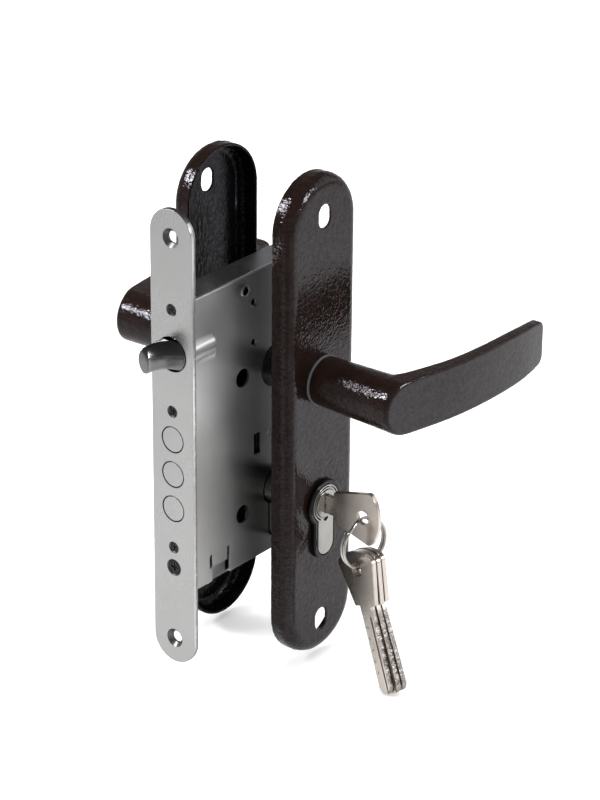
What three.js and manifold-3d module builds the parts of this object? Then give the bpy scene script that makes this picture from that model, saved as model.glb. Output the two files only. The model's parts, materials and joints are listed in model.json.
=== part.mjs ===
// Mortise lock for a steel or timber door: lock case with a latch and three round deadbolts, two
// long backplates with lever handles on one spindle, a key-and-key profile cylinder and its keys.
//
// Frame, millimetres: origin on the front face of the forend, mid-width, at the height of the
// spindle axis. +X runs along the spindle towards the side with the key, +Y into the door away
// from the forend, +Z up. Of the paired fittings, "front" is on the +X side and "back" on the -X.
import * as THREE from "three";
import { mergeVertices } from "three/addons/utils/BufferGeometryUtils.js";
import Module from "manifold-3d";

const wasm = await Module();
wasm.setup();
const { Manifold, Mesh: ManifoldMesh } = wasm;

// ---------------------------------------------------------------- shared dimensions
const BACKSET = 60; // forend face to spindle and cylinder axes
const CYL_Z = -58; // cylinder axis height
const SPINDLE_AXIS = [BACKSET, 0]; // [y, z]
const CYL_AXIS = [BACKSET, CYL_Z]; // [y, z]
const SPINDLE = 8; // square bar
const SQUARE_HALF = SPINDLE / 2 + 0.15; // half the square hole around the spindle

const FOREND = { width: 22.7, z: [-122.8, 87.9], t: 2.5 };
const SMALL_SCREW_Z = { upper: 43.2, middle: -3.2, lower: -67.3 }; // forend to case
const CYL_SCREW_Z = -76.9; // cylinder fixing screw
const LATCH = { z: 23.2, r: 7.75, out: 12.8 };
const BOLT = { r: 5.9, z: { upper: -16.2, middle: -32.5, lower: -48.75 }, len: 40 };
const BOLT_HOLE_R = BOLT.r + 0.2;

const CASE = { x: 7.1, t: 1, y1: 88, z: [-88, 47.6], flange: 1.2 };
const INNER_X = CASE.x - CASE.t;
// axes of the parts that run across the case, [y, z]
const COVER_SCREWS = { front: [38.3, 41.3], top: [82, 41.3], bottom: [82, -81.5] };
const GUIDE_POST = [54, -30];
const DETENT_POST = [67, -18.5];
const RETURN_SPRING_Y = BACKSET + 16;

// Euro profile: round part, and a tab that reaches drop below the axis
const EURO = { r: 8.5, tabHalf: 5, drop: 24.5, half: 35 };
const PLATE = { width: 45.6, z: [-131.4, 92.7], rim: 22.8, face: 32.8, skin: 1.2, round: 5.4 };

// ---------------------------------------------------------------- solid helpers
// Along axis x a centre or point is [y, z], along y it is [x, z], along z it is [x, y].
const cut = (first, ...rest) => rest.reduce((sum, part) => sum.subtract(part), first);
const join = (first, ...rest) => rest.reduce((sum, part) => sum.add(part), first);
const span = (centre, half) => [centre - half, centre + half];
const flipX = (part) => part.mirror([1, 0, 0]);
// the same points in reverse order, on the other side of the first axis
const mirrored = (points) => [...points].reverse().map(([u, v]) => [u, -v]);

function solid(geometry) {
  geometry.deleteAttribute("normal");
  geometry.deleteAttribute("uv");
  const merged = mergeVertices(geometry, 1e-4);
  return new Manifold(
    new ManifoldMesh({
      numProp: 3,
      vertProperties: new Float32Array(merged.attributes.position.array),
      triVerts: new Uint32Array(merged.index.array),
    }),
  );
}

function box([x0, x1], [y0, y1], [z0, z1]) {
  const geometry = new THREE.BoxGeometry(x1 - x0, y1 - y0, z1 - z0);
  geometry.translate((x0 + x1) / 2, (y0 + y1) / 2, (z0 + z1) / 2);
  return solid(geometry);
}

function cone(axis, [startR, endR], [start, end], [c1, c2], sides) {
  const geometry = new THREE.CylinderGeometry(endR, startR, end - start, sides);
  const mid = (start + end) / 2;
  if (axis === "y") geometry.translate(c1, mid, c2);
  if (axis === "z") geometry.rotateX(Math.PI / 2).translate(c1, c2, mid);
  if (axis === "x") geometry.rotateZ(-Math.PI / 2).translate(mid, c1, c2);
  return solid(geometry);
}
const rod = (axis, r, range, centre, sides) => cone(axis, [r, r], range, centre, sides);

const DIR = {
  x: new THREE.Vector3(1, 0, 0),
  y: new THREE.Vector3(0, 1, 0),
  z: new THREE.Vector3(0, 0, 1),
};
const basis = (a, b, c) => new THREE.Matrix4().makeBasis(a, b, c);
const BASIS = {
  x: basis(DIR.y, DIR.z, DIR.x),
  y: basis(DIR.z, DIR.x, DIR.y),
  z: basis(DIR.x, DIR.y, DIR.z),
};
const shapeOf = (points) => new THREE.Shape(points.map(([u, v]) => new THREE.Vector2(u, v)));

function prism(axis, points, [start, end]) {
  const ordered = axis === "y" ? points.map(([x, z]) => [z, x]) : points;
  const geometry = new THREE.ExtrudeGeometry(shapeOf(ordered), {
    depth: end - start,
    bevelEnabled: false,
  });
  geometry.translate(0, 0, start);
  geometry.applyMatrix4(BASIS[axis]);
  return solid(geometry);
}

function arc([c1, c2], r, from, sweep, steps) {
  return Array.from({ length: steps + 1 }, (_, i) => {
    const angle = from + (sweep * i) / steps;
    return [c1 + r * Math.cos(angle), c2 + r * Math.sin(angle)];
  });
}

// upright slot outline with round ends
function stadium(width, [bottom, top], centre, steps) {
  const r = width / 2;
  return [
    ...arc([centre, top - r], r, 0, Math.PI, steps),
    ...arc([centre, bottom + r], r, Math.PI, Math.PI, steps),
  ];
}

// Euro profile outline in [y, z], grown outwards
function euro(growth, steps) {
  const r = EURO.r + growth;
  const half = EURO.tabHalf + growth;
  const tabZ = CYL_Z - EURO.drop + EURO.tabHalf;
  const opening = Math.asin(half / r); // half angle of the mouth into the tab
  return [
    ...arc(CYL_AXIS, r, -Math.PI / 2 + opening, 2 * Math.PI - 2 * opening, 2 * steps),
    ...arc([BACKSET, tabZ], half, Math.PI, Math.PI, steps),
  ];
}

// closed solid through convex rings of equal length, capped by fans
function loft(rings) {
  const count = rings[0].length;
  const positions = rings.flat(2);
  const indices = [];
  for (let k = 0; k + 1 < rings.length; k++) {
    for (let i = 0; i < count; i++) {
      const a = k * count + i;
      const b = k * count + ((i + 1) % count);
      indices.push(a, b, b + count, a, b + count, a + count);
    }
  }
  for (const [k, isFirst] of [[0, true], [rings.length - 1, false]]) {
    const hub = positions.length / 3;
    const middle = [0, 0, 0];
    for (const point of rings[k]) point.forEach((value, j) => (middle[j] += value / count));
    positions.push(...middle);
    for (let i = 0; i < count; i++) {
      const a = k * count + i;
      const b = k * count + ((i + 1) % count);
      indices.push(hub, ...(isFirst ? [b, a] : [a, b]));
    }
  }
  const geometry = new THREE.BufferGeometry();
  geometry.setAttribute("position", new THREE.Float32BufferAttribute(positions, 3));
  geometry.setIndex(indices);
  return solid(geometry);
}

// geometry of a wire swept through the points, one step per point
function wireThrough(points, wireR, sides) {
  const section = Array.from({ length: sides }, (_, i) => {
    const angle = (2 * Math.PI * i) / sides;
    return [wireR * Math.cos(angle), wireR * Math.sin(angle)];
  });
  return new THREE.ExtrudeGeometry(shapeOf(section), {
    steps: points.length - 1,
    extrudePath: new THREE.CatmullRomCurve3(points),
    bevelEnabled: false,
  });
}

function coil(axis, r, wireR, turns, [start, end], [c1, c2]) {
  const stepsPerTurn = 8;
  const steps = turns * stepsPerTurn;
  const points = Array.from({ length: steps + 1 }, (_, i) => {
    const angle = (2 * Math.PI * i) / stepsPerTurn;
    const along = start + wireR + ((end - start - 2 * wireR) * i) / steps;
    const u = c1 + r * Math.cos(angle);
    const v = c2 + r * Math.sin(angle);
    if (axis === "x") return new THREE.Vector3(along, u, v);
    if (axis === "y") return new THREE.Vector3(u, along, v);
    return new THREE.Vector3(u, v, along);
  });
  return solid(wireThrough(points, wireR, 4));
}

// Screw with a conical head and a cross recess. Ranges run along the axis; arm is the half
// length and slot the half width of each recess arm.
function crossScrew(axis, centre, { headR, head, headSides, shankR, shank, arm, slot, recess }) {
  const [c1, c2] = centre;
  const groove = (half1, half2) =>
    axis === "y"
      ? box(span(c1, half1), recess, span(c2, half2))
      : box(recess, span(c1, half1), span(c2, half2));
  return cut(
    join(cone(axis, headR, head, centre, headSides), rod(axis, shankR, shank, centre, 12)),
    groove(arm, slot),
    groove(slot, arm),
  );
}

// ---------------------------------------------------------------- materials
// metallic unless told otherwise
const finish = (options) => new THREE.MeshStandardMaterial({ metalness: 1, ...options });
const MATERIAL = {
  nickel: finish({ color: 0xb9b9b8, roughness: 0.32 }),
  zinc: finish({ color: 0x9a9c9b, roughness: 0.45 }),
  steel: finish({ color: 0x8f9193, roughness: 0.4 }),
  darkSteel: finish({ color: 0x55504b, roughness: 0.35 }),
  bolt: finish({ color: 0xa9a9a8, roughness: 0.35 }),
  enamel: finish({ color: 0x3b2c2a, roughness: 0.3, metalness: 0.3 }),
  grey: finish({ color: 0x6f7375, roughness: 0.5, metalness: 0 }),
  black: finish({ color: 0x0c0d0c, roughness: 0.12, metalness: 0 }),
  cylinder: finish({ color: 0xb7b5ae, roughness: 0.3 }),
  key: finish({ color: 0xa79f98, roughness: 0.28 }),
  spring: finish({ color: 0x7c7d7f, roughness: 0.35 }),
  brass: finish({ color: 0xb08d4c, roughness: 0.4 }),
  chrome: finish({ color: 0xc9c9c9, roughness: 0.12 }),
};

const lock = new THREE.Group();
function add(name, part, material) {
  const { vertProperties, triVerts } = part.getMesh();
  const geometry = new THREE.BufferGeometry();
  const positions = new Float32Array(vertProperties);
  geometry.setAttribute("position", new THREE.BufferAttribute(positions, 3));
  geometry.setIndex(new THREE.BufferAttribute(new Uint32Array(triVerts), 1));
  geometry.computeVertexNormals();
  const mesh = new THREE.Mesh(geometry, material);
  mesh.name = name;
  lock.add(mesh);
}
// both parts are modelled on the +X side
function addPair(name, front, material, back = front) {
  add(`front_${name}`, front, material);
  add(`back_${name}`, flipX(back), material);
}

// ---------------------------------------------------------------- forend and its screws
// countersunk holes: cone radii at the face and at depth
const FOREND_SCREW_HOLES = [
  { z: [75.3, -111.3], bore: 2.6, sink: [4.3, 2.5], depth: 1.7, sides: 16 },
  { z: Object.values(SMALL_SCREW_Z), bore: 1.7, sink: [2.75, 1.65], depth: 1.55, sides: 12 },
  { z: [CYL_SCREW_Z], bore: 2.7, sink: [3.9, 2.65], depth: 1.9, sides: 16 },
];

function forend() {
  const through = [-1, 4];
  let part = prism("y", stadium(FOREND.width, FOREND.z, 0, 12), [0, FOREND.t]);
  for (const hole of FOREND_SCREW_HOLES) {
    for (const z of hole.z) {
      part = cut(
        part,
        rod("y", hole.bore, through, [0, z], hole.sides),
        cone("y", hole.sink, [-0.01, hole.depth], [0, z], hole.sides),
      );
    }
  }
  for (const z of Object.values(BOLT.z)) {
    part = cut(part, rod("y", BOLT_HOLE_R, through, [0, z], 24));
  }
  return cut(part, rod("y", LATCH.r + 0.2, through, [0, LATCH.z], 32));
}
add("forend", forend(), MATERIAL.nickel);

const SMALL_SCREW = {
  headR: [2.6, 1.55], head: [0.15, 1.6], headSides: 12,
  shankR: 1.5, shank: [1.3, 8.5],
  arm: 2.2, slot: 0.35, recess: [0, 0.75],
};
const CYL_SCREW = {
  headR: [3.6, 2.4], head: [0.45, 2.1], headSides: 16,
  shankR: 2.35, shank: [1.9, 63.5],
  arm: 2.4, slot: 0.5, recess: [0, 1.5],
};
for (const [place, z] of Object.entries(SMALL_SCREW_Z)) {
  add(`forend_screw_${place}`, crossScrew("y", [0, z], SMALL_SCREW), MATERIAL.steel);
}
add("cylinder_fixing_screw", crossScrew("y", [0, CYL_SCREW_Z], CYL_SCREW), MATERIAL.steel);

// ---------------------------------------------------------------- lock case: body and cover
// round housing that bulges out of both case sides around the latch head
const HOUSING = { r: LATCH.r + 1.25, y1: 19.6 };
const housing = () => rod("y", HOUSING.r, [FOREND.t, HOUSING.y1], [0, LATCH.z], 32);
const latchBore = () => rod("y", LATCH.r + 0.25, [0, HOUSING.y1 - 1], [0, LATCH.z], 32);

// openings that both case sides share
const sideOpenings = (range) => [
  rod("x", 10.2, range, SPINDLE_AXIS, 24),
  rod("x", 4.2, range, [37.2, 1.2], 16),
  rod("x", 4.2, range, [37.2, -63.6], 16),
  prism("x", euro(0.45, 8), range),
];

// tray open towards +X
function caseBody() {
  const [bottom, top] = CASE.z;
  const cavity = box(
    [-INNER_X, INNER_X + 4],
    [FOREND.t + CASE.flange, CASE.y1 - CASE.t],
    [bottom + CASE.t, top - CASE.t],
  );
  let part = join(box([-CASE.x, INNER_X], [FOREND.t, CASE.y1], CASE.z), housing());
  part = cut(part, cavity, latchBore());
  part = cut(part, box([INNER_X - 0.001, 20], [0, 100], [-100, 60])); // room for the cover
  part = cut(part, ...sideOpenings([-20, 0]));
  const flangeHole = (r, z, sides) => rod("y", r, [0, 5], [0, z], sides);
  for (const z of Object.values(BOLT.z)) part = cut(part, flangeHole(BOLT_HOLE_R, z, 24));
  for (const z of Object.values(SMALL_SCREW_Z)) part = cut(part, flangeHole(1.65, z, 12));
  part = cut(part, flangeHole(2.7, CYL_SCREW_Z, 12));
  // tab and stud that seat the follower's return spring
  return join(
    part,
    box([-INNER_X - 0.5, INNER_X - 0.1], span(RETURN_SPRING_Y, 3.4), [-24, -22.5]),
    rod("z", 1.5, [-23, -17], [0, RETURN_SPRING_Y], 10),
  );
}

function caseCover() {
  const through = [0, 20];
  const hole = (r, centre, sides) => rod("x", r, through, centre, sides);
  const bulge = cut(housing(), box([-20, INNER_X], [-5, 30], [0, 60]));
  const part = join(box([INNER_X, CASE.x], [FOREND.t, CASE.y1], CASE.z), bulge);
  return cut(
    part,
    latchBore(),
    ...sideOpenings(through),
    box(through, [44.7, 48.9], [-38, -28.2]), // slot over the bolt carriage
    hole(1.3, [44.6, 33.7], 10),
    hole(1.3, [44.7, 15.2], 10),
    // notch in the lower edge with a slit rising at either side
    box(through, [15.3, 17], [-81.5, -75.2]),
    box(through, [26.8, 28.5], [-89, -75]),
    box(through, [16.9, 26.9], [-89, -81.4]),
    ...Object.values(COVER_SCREWS).map((centre) => hole(1.65, centre, 12)),
    hole(1.2, GUIDE_POST, 12),
    hole(1.2, DETENT_POST, 12),
  );
}
add("case_body", caseBody(), MATERIAL.zinc);
add("case_cover", caseCover(), MATERIAL.zinc);

const COVER_SCREW = {
  headR: [2.7, 2.4], head: [CASE.x, CASE.x + 1.1], headSides: 16,
  shankR: 1.35, shank: [0.5, CASE.x + 0.1],
  arm: 1.6, slot: 0.3, recess: [CASE.x + 0.5, CASE.x + 3],
};
for (const [place, centre] of Object.entries(COVER_SCREWS)) {
  const sleeve = rod("x", 2.8, span(0, INNER_X), centre, 16);
  const post = cut(sleeve, rod("x", 1.45, [-1, 10], centre, 12));
  add(`case_post_${place}`, post, MATERIAL.steel);
  add(`cover_screw_${place}`, crossScrew("x", centre, COVER_SCREW), MATERIAL.steel);
}

// post between the case sides, with a thinner end in the cover
const plainPost = (centre) =>
  join(rod("x", 1.5, span(0, INNER_X), centre, 16), rod("x", 1.1, [5, CASE.x], centre, 12));
add("carriage_guide_post", plainPost(GUIDE_POST), MATERIAL.steel);
add("detent_post", plainPost(DETENT_POST), MATERIAL.steel);

// ---------------------------------------------------------------- latch
const TAIL_Z = 23.1; // mid-height of the tail bar
// cut-away beyond the striking face, [x, y]: the face bulges slightly, and slopes from the tip
// on the -X side back to the forend on the +X side
const LATCH_SLOPE = [
  [-2.6, -20], [-2.6, -12.4], [1.2, -8.7], [4.6, -4.6], [7.2, -0.6], [20, -0.6], [20, -20],
];

function latchBolt() {
  const { z, r, out } = LATCH;
  const shank = cut(
    rod("y", r, [5, 10], [0, z], 32),
    box([5.8, 20], [5, 11], [0, 50]),
    box([-20, -5.8], [5, 11], [0, 50]),
  );
  return cut(
    join(rod("y", r, [-out, 5.9], [0, z], 32), shank),
    prism("z", LATCH_SLOPE, span(z, 12)),
    // flats on top and bottom of the striking end
    box([-10, 10], [-20, -0.6], [z + 6.4, z + 12]),
    box([-10, 10], [-20, -0.6], [z - 12, z - 6.4]),
    box([-2.2, 2.2], [7.9, 11], span(z, 2.3)), // socket of the tail
  );
}

// bar with a hook that the follower arm pulls
function latchTail() {
  const bar = box([-2, 2], [8, 66.8], span(TAIL_Z, 2.2));
  return join(bar, box([-2, 2], [63.8, 66.8], [12, TAIL_Z + 2.2]));
}

function latchSpringStop() {
  const wall = box(span(0, INNER_X), [36.5, 38.3], [15.8, 31.5]);
  return cut(wall, box([-2.4, 2.4], [36, 39], span(TAIL_Z, 2.7)));
}
add("latch_bolt", latchBolt(), MATERIAL.darkSteel);
add("latch_tail", latchTail(), MATERIAL.steel);
add("latch_spring", coil("y", 4.4, 0.5, 5, [10.4, 36.2], [0, TAIL_Z]), MATERIAL.spring);
add("latch_spring_stop", latchSpringStop(), MATERIAL.steel);

// ---------------------------------------------------------------- follower, return spring
function follower() {
  const armX = [-3.2, 3.2];
  const part = join(
    rod("x", 9.9, [-7.3, 7.3], SPINDLE_AXIS, 24),
    rod("x", 12, [-5.6, 5.6], SPINDLE_AXIS, 24),
    box(armX, span(BACKSET, 3), [5, 20]), // arm that pulls the latch
    box(armX, [BACKSET + 5, BACKSET + 19], [-4, 0]), // arm on the return spring
  );
  return cut(part, box([-9, 9], span(BACKSET, SQUARE_HALF), span(0, SQUARE_HALF)));
}
const returnSpring = coil("z", 2.4, 0.5, 5, [-22.1, -4.3], [0, RETURN_SPRING_Y]);
add("follower", follower(), MATERIAL.steel);
add("follower_spring", returnSpring, MATERIAL.spring);

// ---------------------------------------------------------------- deadbolts and carriage
function deadbolt(z) {
  const part = join(
    rod("y", BOLT.r, [0.6, BOLT.len], [0, z], 24),
    cone("y", [BOLT.r - 0.5, BOLT.r], [0.1, 0.61], [0, z], 24), // chamfered nose
  );
  return cut(part, box([4.1, 8], [33.7, 45], span(z, 7))); // flat for the carriage
}

// plate on the flats of the bolts, with a slotted tail guided by a post
function boltCarriage() {
  const plateX = [4.25, 5.8];
  const through = [4, 6];
  return cut(
    join(box(plateX, [34, 49], [-55.5, -10]), box(plateX, [48, 80.5], [-34, -26])),
    box(through, [52.2, 77.9], [-31.7, -28.3]), // guide slot
    box(through, [46, 50], [-46, -37]), // relief in the rear edge
    // detent notches
    box(through, [57, 60.5], [-27.5, -25]),
    box(through, [68, 71.5], [-27.5, -25]),
  );
}

function detentLever() {
  const [y, z] = DETENT_POST;
  const part = join(
    rod("x", 3.4, [0.6, 3.2], DETENT_POST, 16),
    box([0.6, 3.2], [50, y], [z - 3, z - 0.2]),
    box([0.6, 5.6], [57.4, 60], [-25.3, z - 1.5]), // nose over the carriage notch
  );
  return cut(part, rod("x", 1.6, [-5, 8], DETENT_POST, 16));
}
for (const [place, z] of Object.entries(BOLT.z)) {
  add(`deadbolt_${place}`, deadbolt(z), MATERIAL.bolt);
}
add("bolt_carriage", boltCarriage(), MATERIAL.steel);
add("detent_lever", detentLever(), MATERIAL.steel);
add("detent_spring", coil("x", 2.5, 0.35, 3, [-3.6, 0.3], DETENT_POST), MATERIAL.spring);

// ---------------------------------------------------------------- profile cylinder
const PLUG = { r: 6.4, x: [5.2, EURO.half + 0.5] };
const CAM_R = 15.2;
const PIN_X = [11, 15.5, 20, 24.5, 29];
const pinBores = (range) => PIN_X.map((x) => rod("z", 1.5, range, [x, BACKSET], 6));

function cylinderBody() {
  // gap for the cam, leaving a web below it
  const camGap = cut(
    rod("x", CAM_R + 0.5, [-5, 5], CYL_AXIS, 28),
    box([-6, 6], [40, 80], [-90, CYL_Z - 15.6]),
  );
  return cut(
    prism("x", euro(0, 9), span(0, EURO.half)),
    rod("x", PLUG.r + 0.12, [-40, 40], CYL_AXIS, 24),
    camGap,
    rod("y", 2.5, [40, 80], [0, CYL_SCREW_Z], 14), // fixing-screw hole
    ...pinBores([CYL_Z - 21, CYL_Z]),
  );
}

// plug with its keyway, on the +X side
function plug() {
  const keyway = box([5, 40], span(BACKSET, 1.35), span(CYL_Z, 4.4));
  return cut(rod("x", PLUG.r, PLUG.x, CYL_AXIS, 24), keyway);
}

// hollow hub with one lobe, pointing down and deeper into the door
function cylinderCam() {
  const lobe = box([-3.7, 3.7], [-4, 4], [2, CAM_R])
    .intersect(rod("x", CAM_R, [-5, 5], [0, 0], 36))
    .rotate([-150, 0, 0])
    .translate([0, ...CYL_AXIS]);
  const hub = rod("x", PLUG.r, [-4, 4], CYL_AXIS, 20);
  return cut(join(hub, lobe), rod("x", 5, [-6, 6], CYL_AXIS, 16));
}
add("cylinder_body", cylinderBody(), MATERIAL.cylinder);
add("plug_front", cut(plug(), ...pinBores([CYL_Z - 8, CYL_Z - 4.2])), MATERIAL.cylinder);
add("plug_rear", flipX(plug()), MATERIAL.cylinder);
add("cylinder_cam", cylinderCam(), MATERIAL.steel);
add("cam_clutch", rod("x", 4.6, [-3.9, -1], CYL_AXIS, 16), MATERIAL.brass);
PIN_X.forEach((x, i) => {
  const pin = (bottom, top) => rod("z", 1.25, [CYL_Z - bottom, CYL_Z - top], [x, BACKSET], 6);
  add(`key_pin_${i + 1}`, pin(6.1, 4.6), MATERIAL.brass);
  add(`driver_pin_${i + 1}`, pin(12 + (i % 3), 6.9), MATERIAL.steel);
});

// ---------------------------------------------------------------- backplates, bushes, surrounds
const PLATE_CUT_X = [20, 40]; // reach of the cuts through a plate and its fittings

// round-edged block from startX to the plate face, inset all round
function plateBlock(inset, startX) {
  const [bottom, top] = PLATE.z;
  const ring = (margin, x) =>
    stadium(PLATE.width - 2 * margin, [bottom + margin, top - margin], BACKSET, 12)
      .map(([y, z]) => [x, y, z]);
  const edgeSteps = 3;
  const edgeR = PLATE.round - inset;
  const rings = [ring(inset, startX)];
  for (let i = 0; i <= edgeSteps; i++) {
    const angle = (Math.PI / 2) * (i / edgeSteps);
    const margin = inset + edgeR * (1 - Math.cos(angle));
    rings.push(ring(margin, PLATE.face - PLATE.round + edgeR * Math.sin(angle)));
  }
  return loft(rings);
}

function backplate() {
  const slot = (z) => prism("x", stadium(7.4, span(z, 5.2), BACKSET, 6), PLATE_CUT_X);
  return cut(
    plateBlock(0, PLATE.rim),
    plateBlock(PLATE.skin, PLATE.rim - 2),
    slot(74.85),
    slot(-115.6),
    rod("x", 10.2, PLATE_CUT_X, SPINDLE_AXIS, 24),
    prism("x", euro(0.9, 8), PLATE_CUT_X),
  );
}

// collar under the lever neck, with a spigot through the plate
function bush() {
  const collar = rod("x", 11.3, [PLATE.face, PLATE.face + 1.3], SPINDLE_AXIS, 28);
  const spigot = rod("x", 10.1, [PLATE.face - 2.4, PLATE.face + 0.5], SPINDLE_AXIS, 28);
  return cut(join(collar, spigot), rod("x", 8.2, PLATE_CUT_X, SPINDLE_AXIS, 20));
}

function cylinderSurround() {
  const collar = prism("x", euro(2.2, 9), [PLATE.face, PLATE.face + 2.1]);
  const spigot = prism("x", euro(0.75, 8), [PLATE.face - 1.6, PLATE.face + 0.5]);
  return cut(join(collar, spigot), prism("x", euro(0.15, 9), PLATE_CUT_X));
}
addPair("plate", backplate(), MATERIAL.enamel);
addPair("bush", bush(), MATERIAL.grey);
addPair("cylinder_surround", cylinderSurround(), MATERIAL.black);

// ---------------------------------------------------------------- levers on the spindle
const NECK = { r: 10.9, x0: PLATE.face + 1.55 };
const GRUB_AXIS = [42.5, BACKSET]; // [x, y]
// degrees each grip hangs below level
const DROOP = { front: 0.4, back: 2.6 };
// outer and inner faces in plan, [x, y]
const GRIP_OUTER = [
  [75.5, 47], [76.8, 55], [77.9, 61], [78.9, 67], [80, 73], [81.1, 79], [82.1, 85], [83, 92],
  [83.6, 100], [83.9, 108], [83.95, 116], [83.7, 124], [83.2, 132], [82.4, 140], [81.4, 147],
  [80.2, 154.2],
];
const GRIP_INNER = [
  [74.7, 154.6], [75.6, 147], [76.3, 140], [76.9, 130], [77.2, 118], [76.9, 106], [76.1, 96],
  [74.8, 88], [72.7, 81], [69.9, 76], [66.6, 73], [64.4, 70.6], [64, 60],
];
// upper edge in elevation, [y, half height]
const GRIP_EDGE = [
  [60, 12.1], [66, 12.4], [73, 12.5], [84, 12.5], [96, 12.4], [112, 12.4], [124, 12.3],
  [133, 12], [141, 11.5], [149, 10.8], [152.7, 10.1], [154.2, 8.6],
];

function lever(droop) {
  // the neck stops at the outer face
  const neckLimit = prism("z", [...GRIP_OUTER, [20, 154.2], [20, 47]], [-20, 20]);
  const neck = cone("x", [NECK.r, NECK.r + 1.6], [NECK.x0, 90], SPINDLE_AXIS, 32)
    .intersect(neckLimit);
  // the grip starts behind the first two outer stations
  const plan = prism("z", [[77.8, 60.5], ...GRIP_OUTER.slice(2), ...GRIP_INNER], [-20, 20]);
  const elevation = prism("x", [...GRIP_EDGE, ...mirrored(GRIP_EDGE)], [40, 100]);
  const handle = join(neck, plan.intersect(elevation))
    .translate([0, -BACKSET, 0])
    .rotate([-droop, 0, 0])
    .translate([0, BACKSET, 0]);
  const tail = rod("x", 8, [28.2, NECK.x0 + 1], SPINDLE_AXIS, 28); // through the bush
  return cut(
    join(handle, tail),
    box([20, 60], span(BACKSET, SQUARE_HALF), span(0, SQUARE_HALF)),
    rod("z", 2.6, [-13, -2], GRUB_AXIS, 14),
  );
}

function grubScrew() {
  const socket = rod("z", 1.25, [-11, -7.5], GRUB_AXIS, 6);
  return cut(rod("z", 2.45, [-10.2, -4.4], GRUB_AXIS, 14), socket);
}

// open ring around the lever tail, gap towards the forend
function retainingRing() {
  return cut(
    rod("x", 10.6, [28.6, 29.8], SPINDLE_AXIS, 24),
    rod("x", 8.1, PLATE_CUT_X, SPINDLE_AXIS, 24),
    box(PLATE_CUT_X, [44, 52], [-1.2, 1.2]),
  );
}
addPair("lever", lever(DROOP.front), MATERIAL.enamel, lever(DROOP.back));
addPair("grub_screw", grubScrew(), MATERIAL.steel);
addPair("retaining_ring", retainingRing(), MATERIAL.spring);
const spindle = box([-58, 58], span(BACKSET, SPINDLE / 2), span(0, SPINDLE / 2));
add("spindle", spindle, MATERIAL.steel);

// ---------------------------------------------------------------- keys
// A key lies flat in [u, w]: u runs along it from the shoulder, head towards -u, blade towards +u.
const KEY = { head: 24.5, hole: 15.8, holeR: 3.1, blade: 40, bladeHalf: 4.2, t: 2.3 };
// head outline on the +w side, from the shoulder outwards
const KEY_HEAD = [
  [0, 6.9], [-0.5, 7.2], [-17.6, 12.2], [-19.4, 12.4], [-20.7, 11.8], [-22.3, 9.6],
  [-23.5, 6.6], [-24.3, 3.2],
];
const KEY_CUTS = { start: 7, pitch: 7.5, depths: [0.4, 0.8, 0.3, 0.7] };
const KEY_SHOULDER_X = 40; // shoulder of the key in the lock

function keyOutline() {
  const { blade, bladeHalf } = KEY;
  // blade edge on the -w side, with shallow cuts
  const edge = [[0, -bladeHalf], [3.5, -bladeHalf]];
  KEY_CUTS.depths.forEach((depth, i) => {
    const u = KEY_CUTS.start + i * KEY_CUTS.pitch;
    const floor = -bladeHalf + depth;
    edge.push([u, -bladeHalf], [u + 1.2, floor], [u + 2.4, floor], [u + 3.6, -bladeHalf]);
  });
  edge.push([blade - 3, -bladeHalf], [blade, -bladeHalf + 2.6]);
  return [...KEY_HEAD, [-KEY.head, 0], ...mirrored(KEY_HEAD), ...edge, ...mirrored(edge)];
}

// key with its blade along the given direction and its face towards normal
function placedKey(along, normal, shoulder) {
  const half = KEY.t / 2;
  const grooveU = [5, KEY.blade + 1];
  const across = new THREE.Vector3().crossVectors(normal, along);
  return cut(
    prism("z", keyOutline(), [-half, half]),
    rod("z", KEY.holeR, [-5, 5], [-KEY.hole, 0], 20),
    // one groove in each face
    box(grooveU, [-0.6, 0.6], [half - 0.55, 5]),
    box(grooveU, [-2.6, -1.6], [-5, -half + 0.55]),
  ).transform(basis(along, across, normal).setPosition(shoulder).elements);
}
const lockShoulder = new THREE.Vector3(KEY_SHOULDER_X, BACKSET, CYL_Z);
add("key_in_lock", placedKey(new THREE.Vector3(-1, 0, 0), DIR.y, lockShoulder), MATERIAL.key);

// split ring through the hole of the key in the lock, turned a little about the vertical
const RING = { r: 11.4, wireR: 0.72, yaw: (13 * Math.PI) / 180, turns: 1.84, pitch: 1.64 };
const RING_CENTRE = new THREE.Vector3(KEY_SHOULDER_X + KEY.hole, BACKSET, CYL_Z - 0.9 - RING.r);

function keyRing() {
  const steps = 46;
  const points = Array.from({ length: steps + 1 }, (_, i) => {
    const turn = (RING.turns * i) / steps;
    const angle = Math.PI * 0.78 + 2 * Math.PI * turn;
    // the wire crosses from one side to the other in the gap between its two ends
    const crossing = (turn - (RING.turns - 1)) / (2 - RING.turns);
    const t = Math.min(1, Math.max(0, crossing));
    const x = RING.pitch * (t * t * (3 - 2 * t) - 0.5);
    return new THREE.Vector3(x, RING.r * Math.cos(angle), RING.r * Math.sin(angle));
  });
  const geometry = wireThrough(points, RING.wireR, 5);
  geometry.rotateZ(-RING.yaw).translate(...RING_CENTRE.toArray());
  return solid(geometry);
}
add("key_ring", keyRing(), MATERIAL.chrome);

// three spare keys side by side on the bottom of the ring, blades leaning towards +X
const SPARE_LEAN = [22.6, 24.6, 25.4]; // degrees from hanging straight down
const SPARE_PITCH = 2.75;

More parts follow.
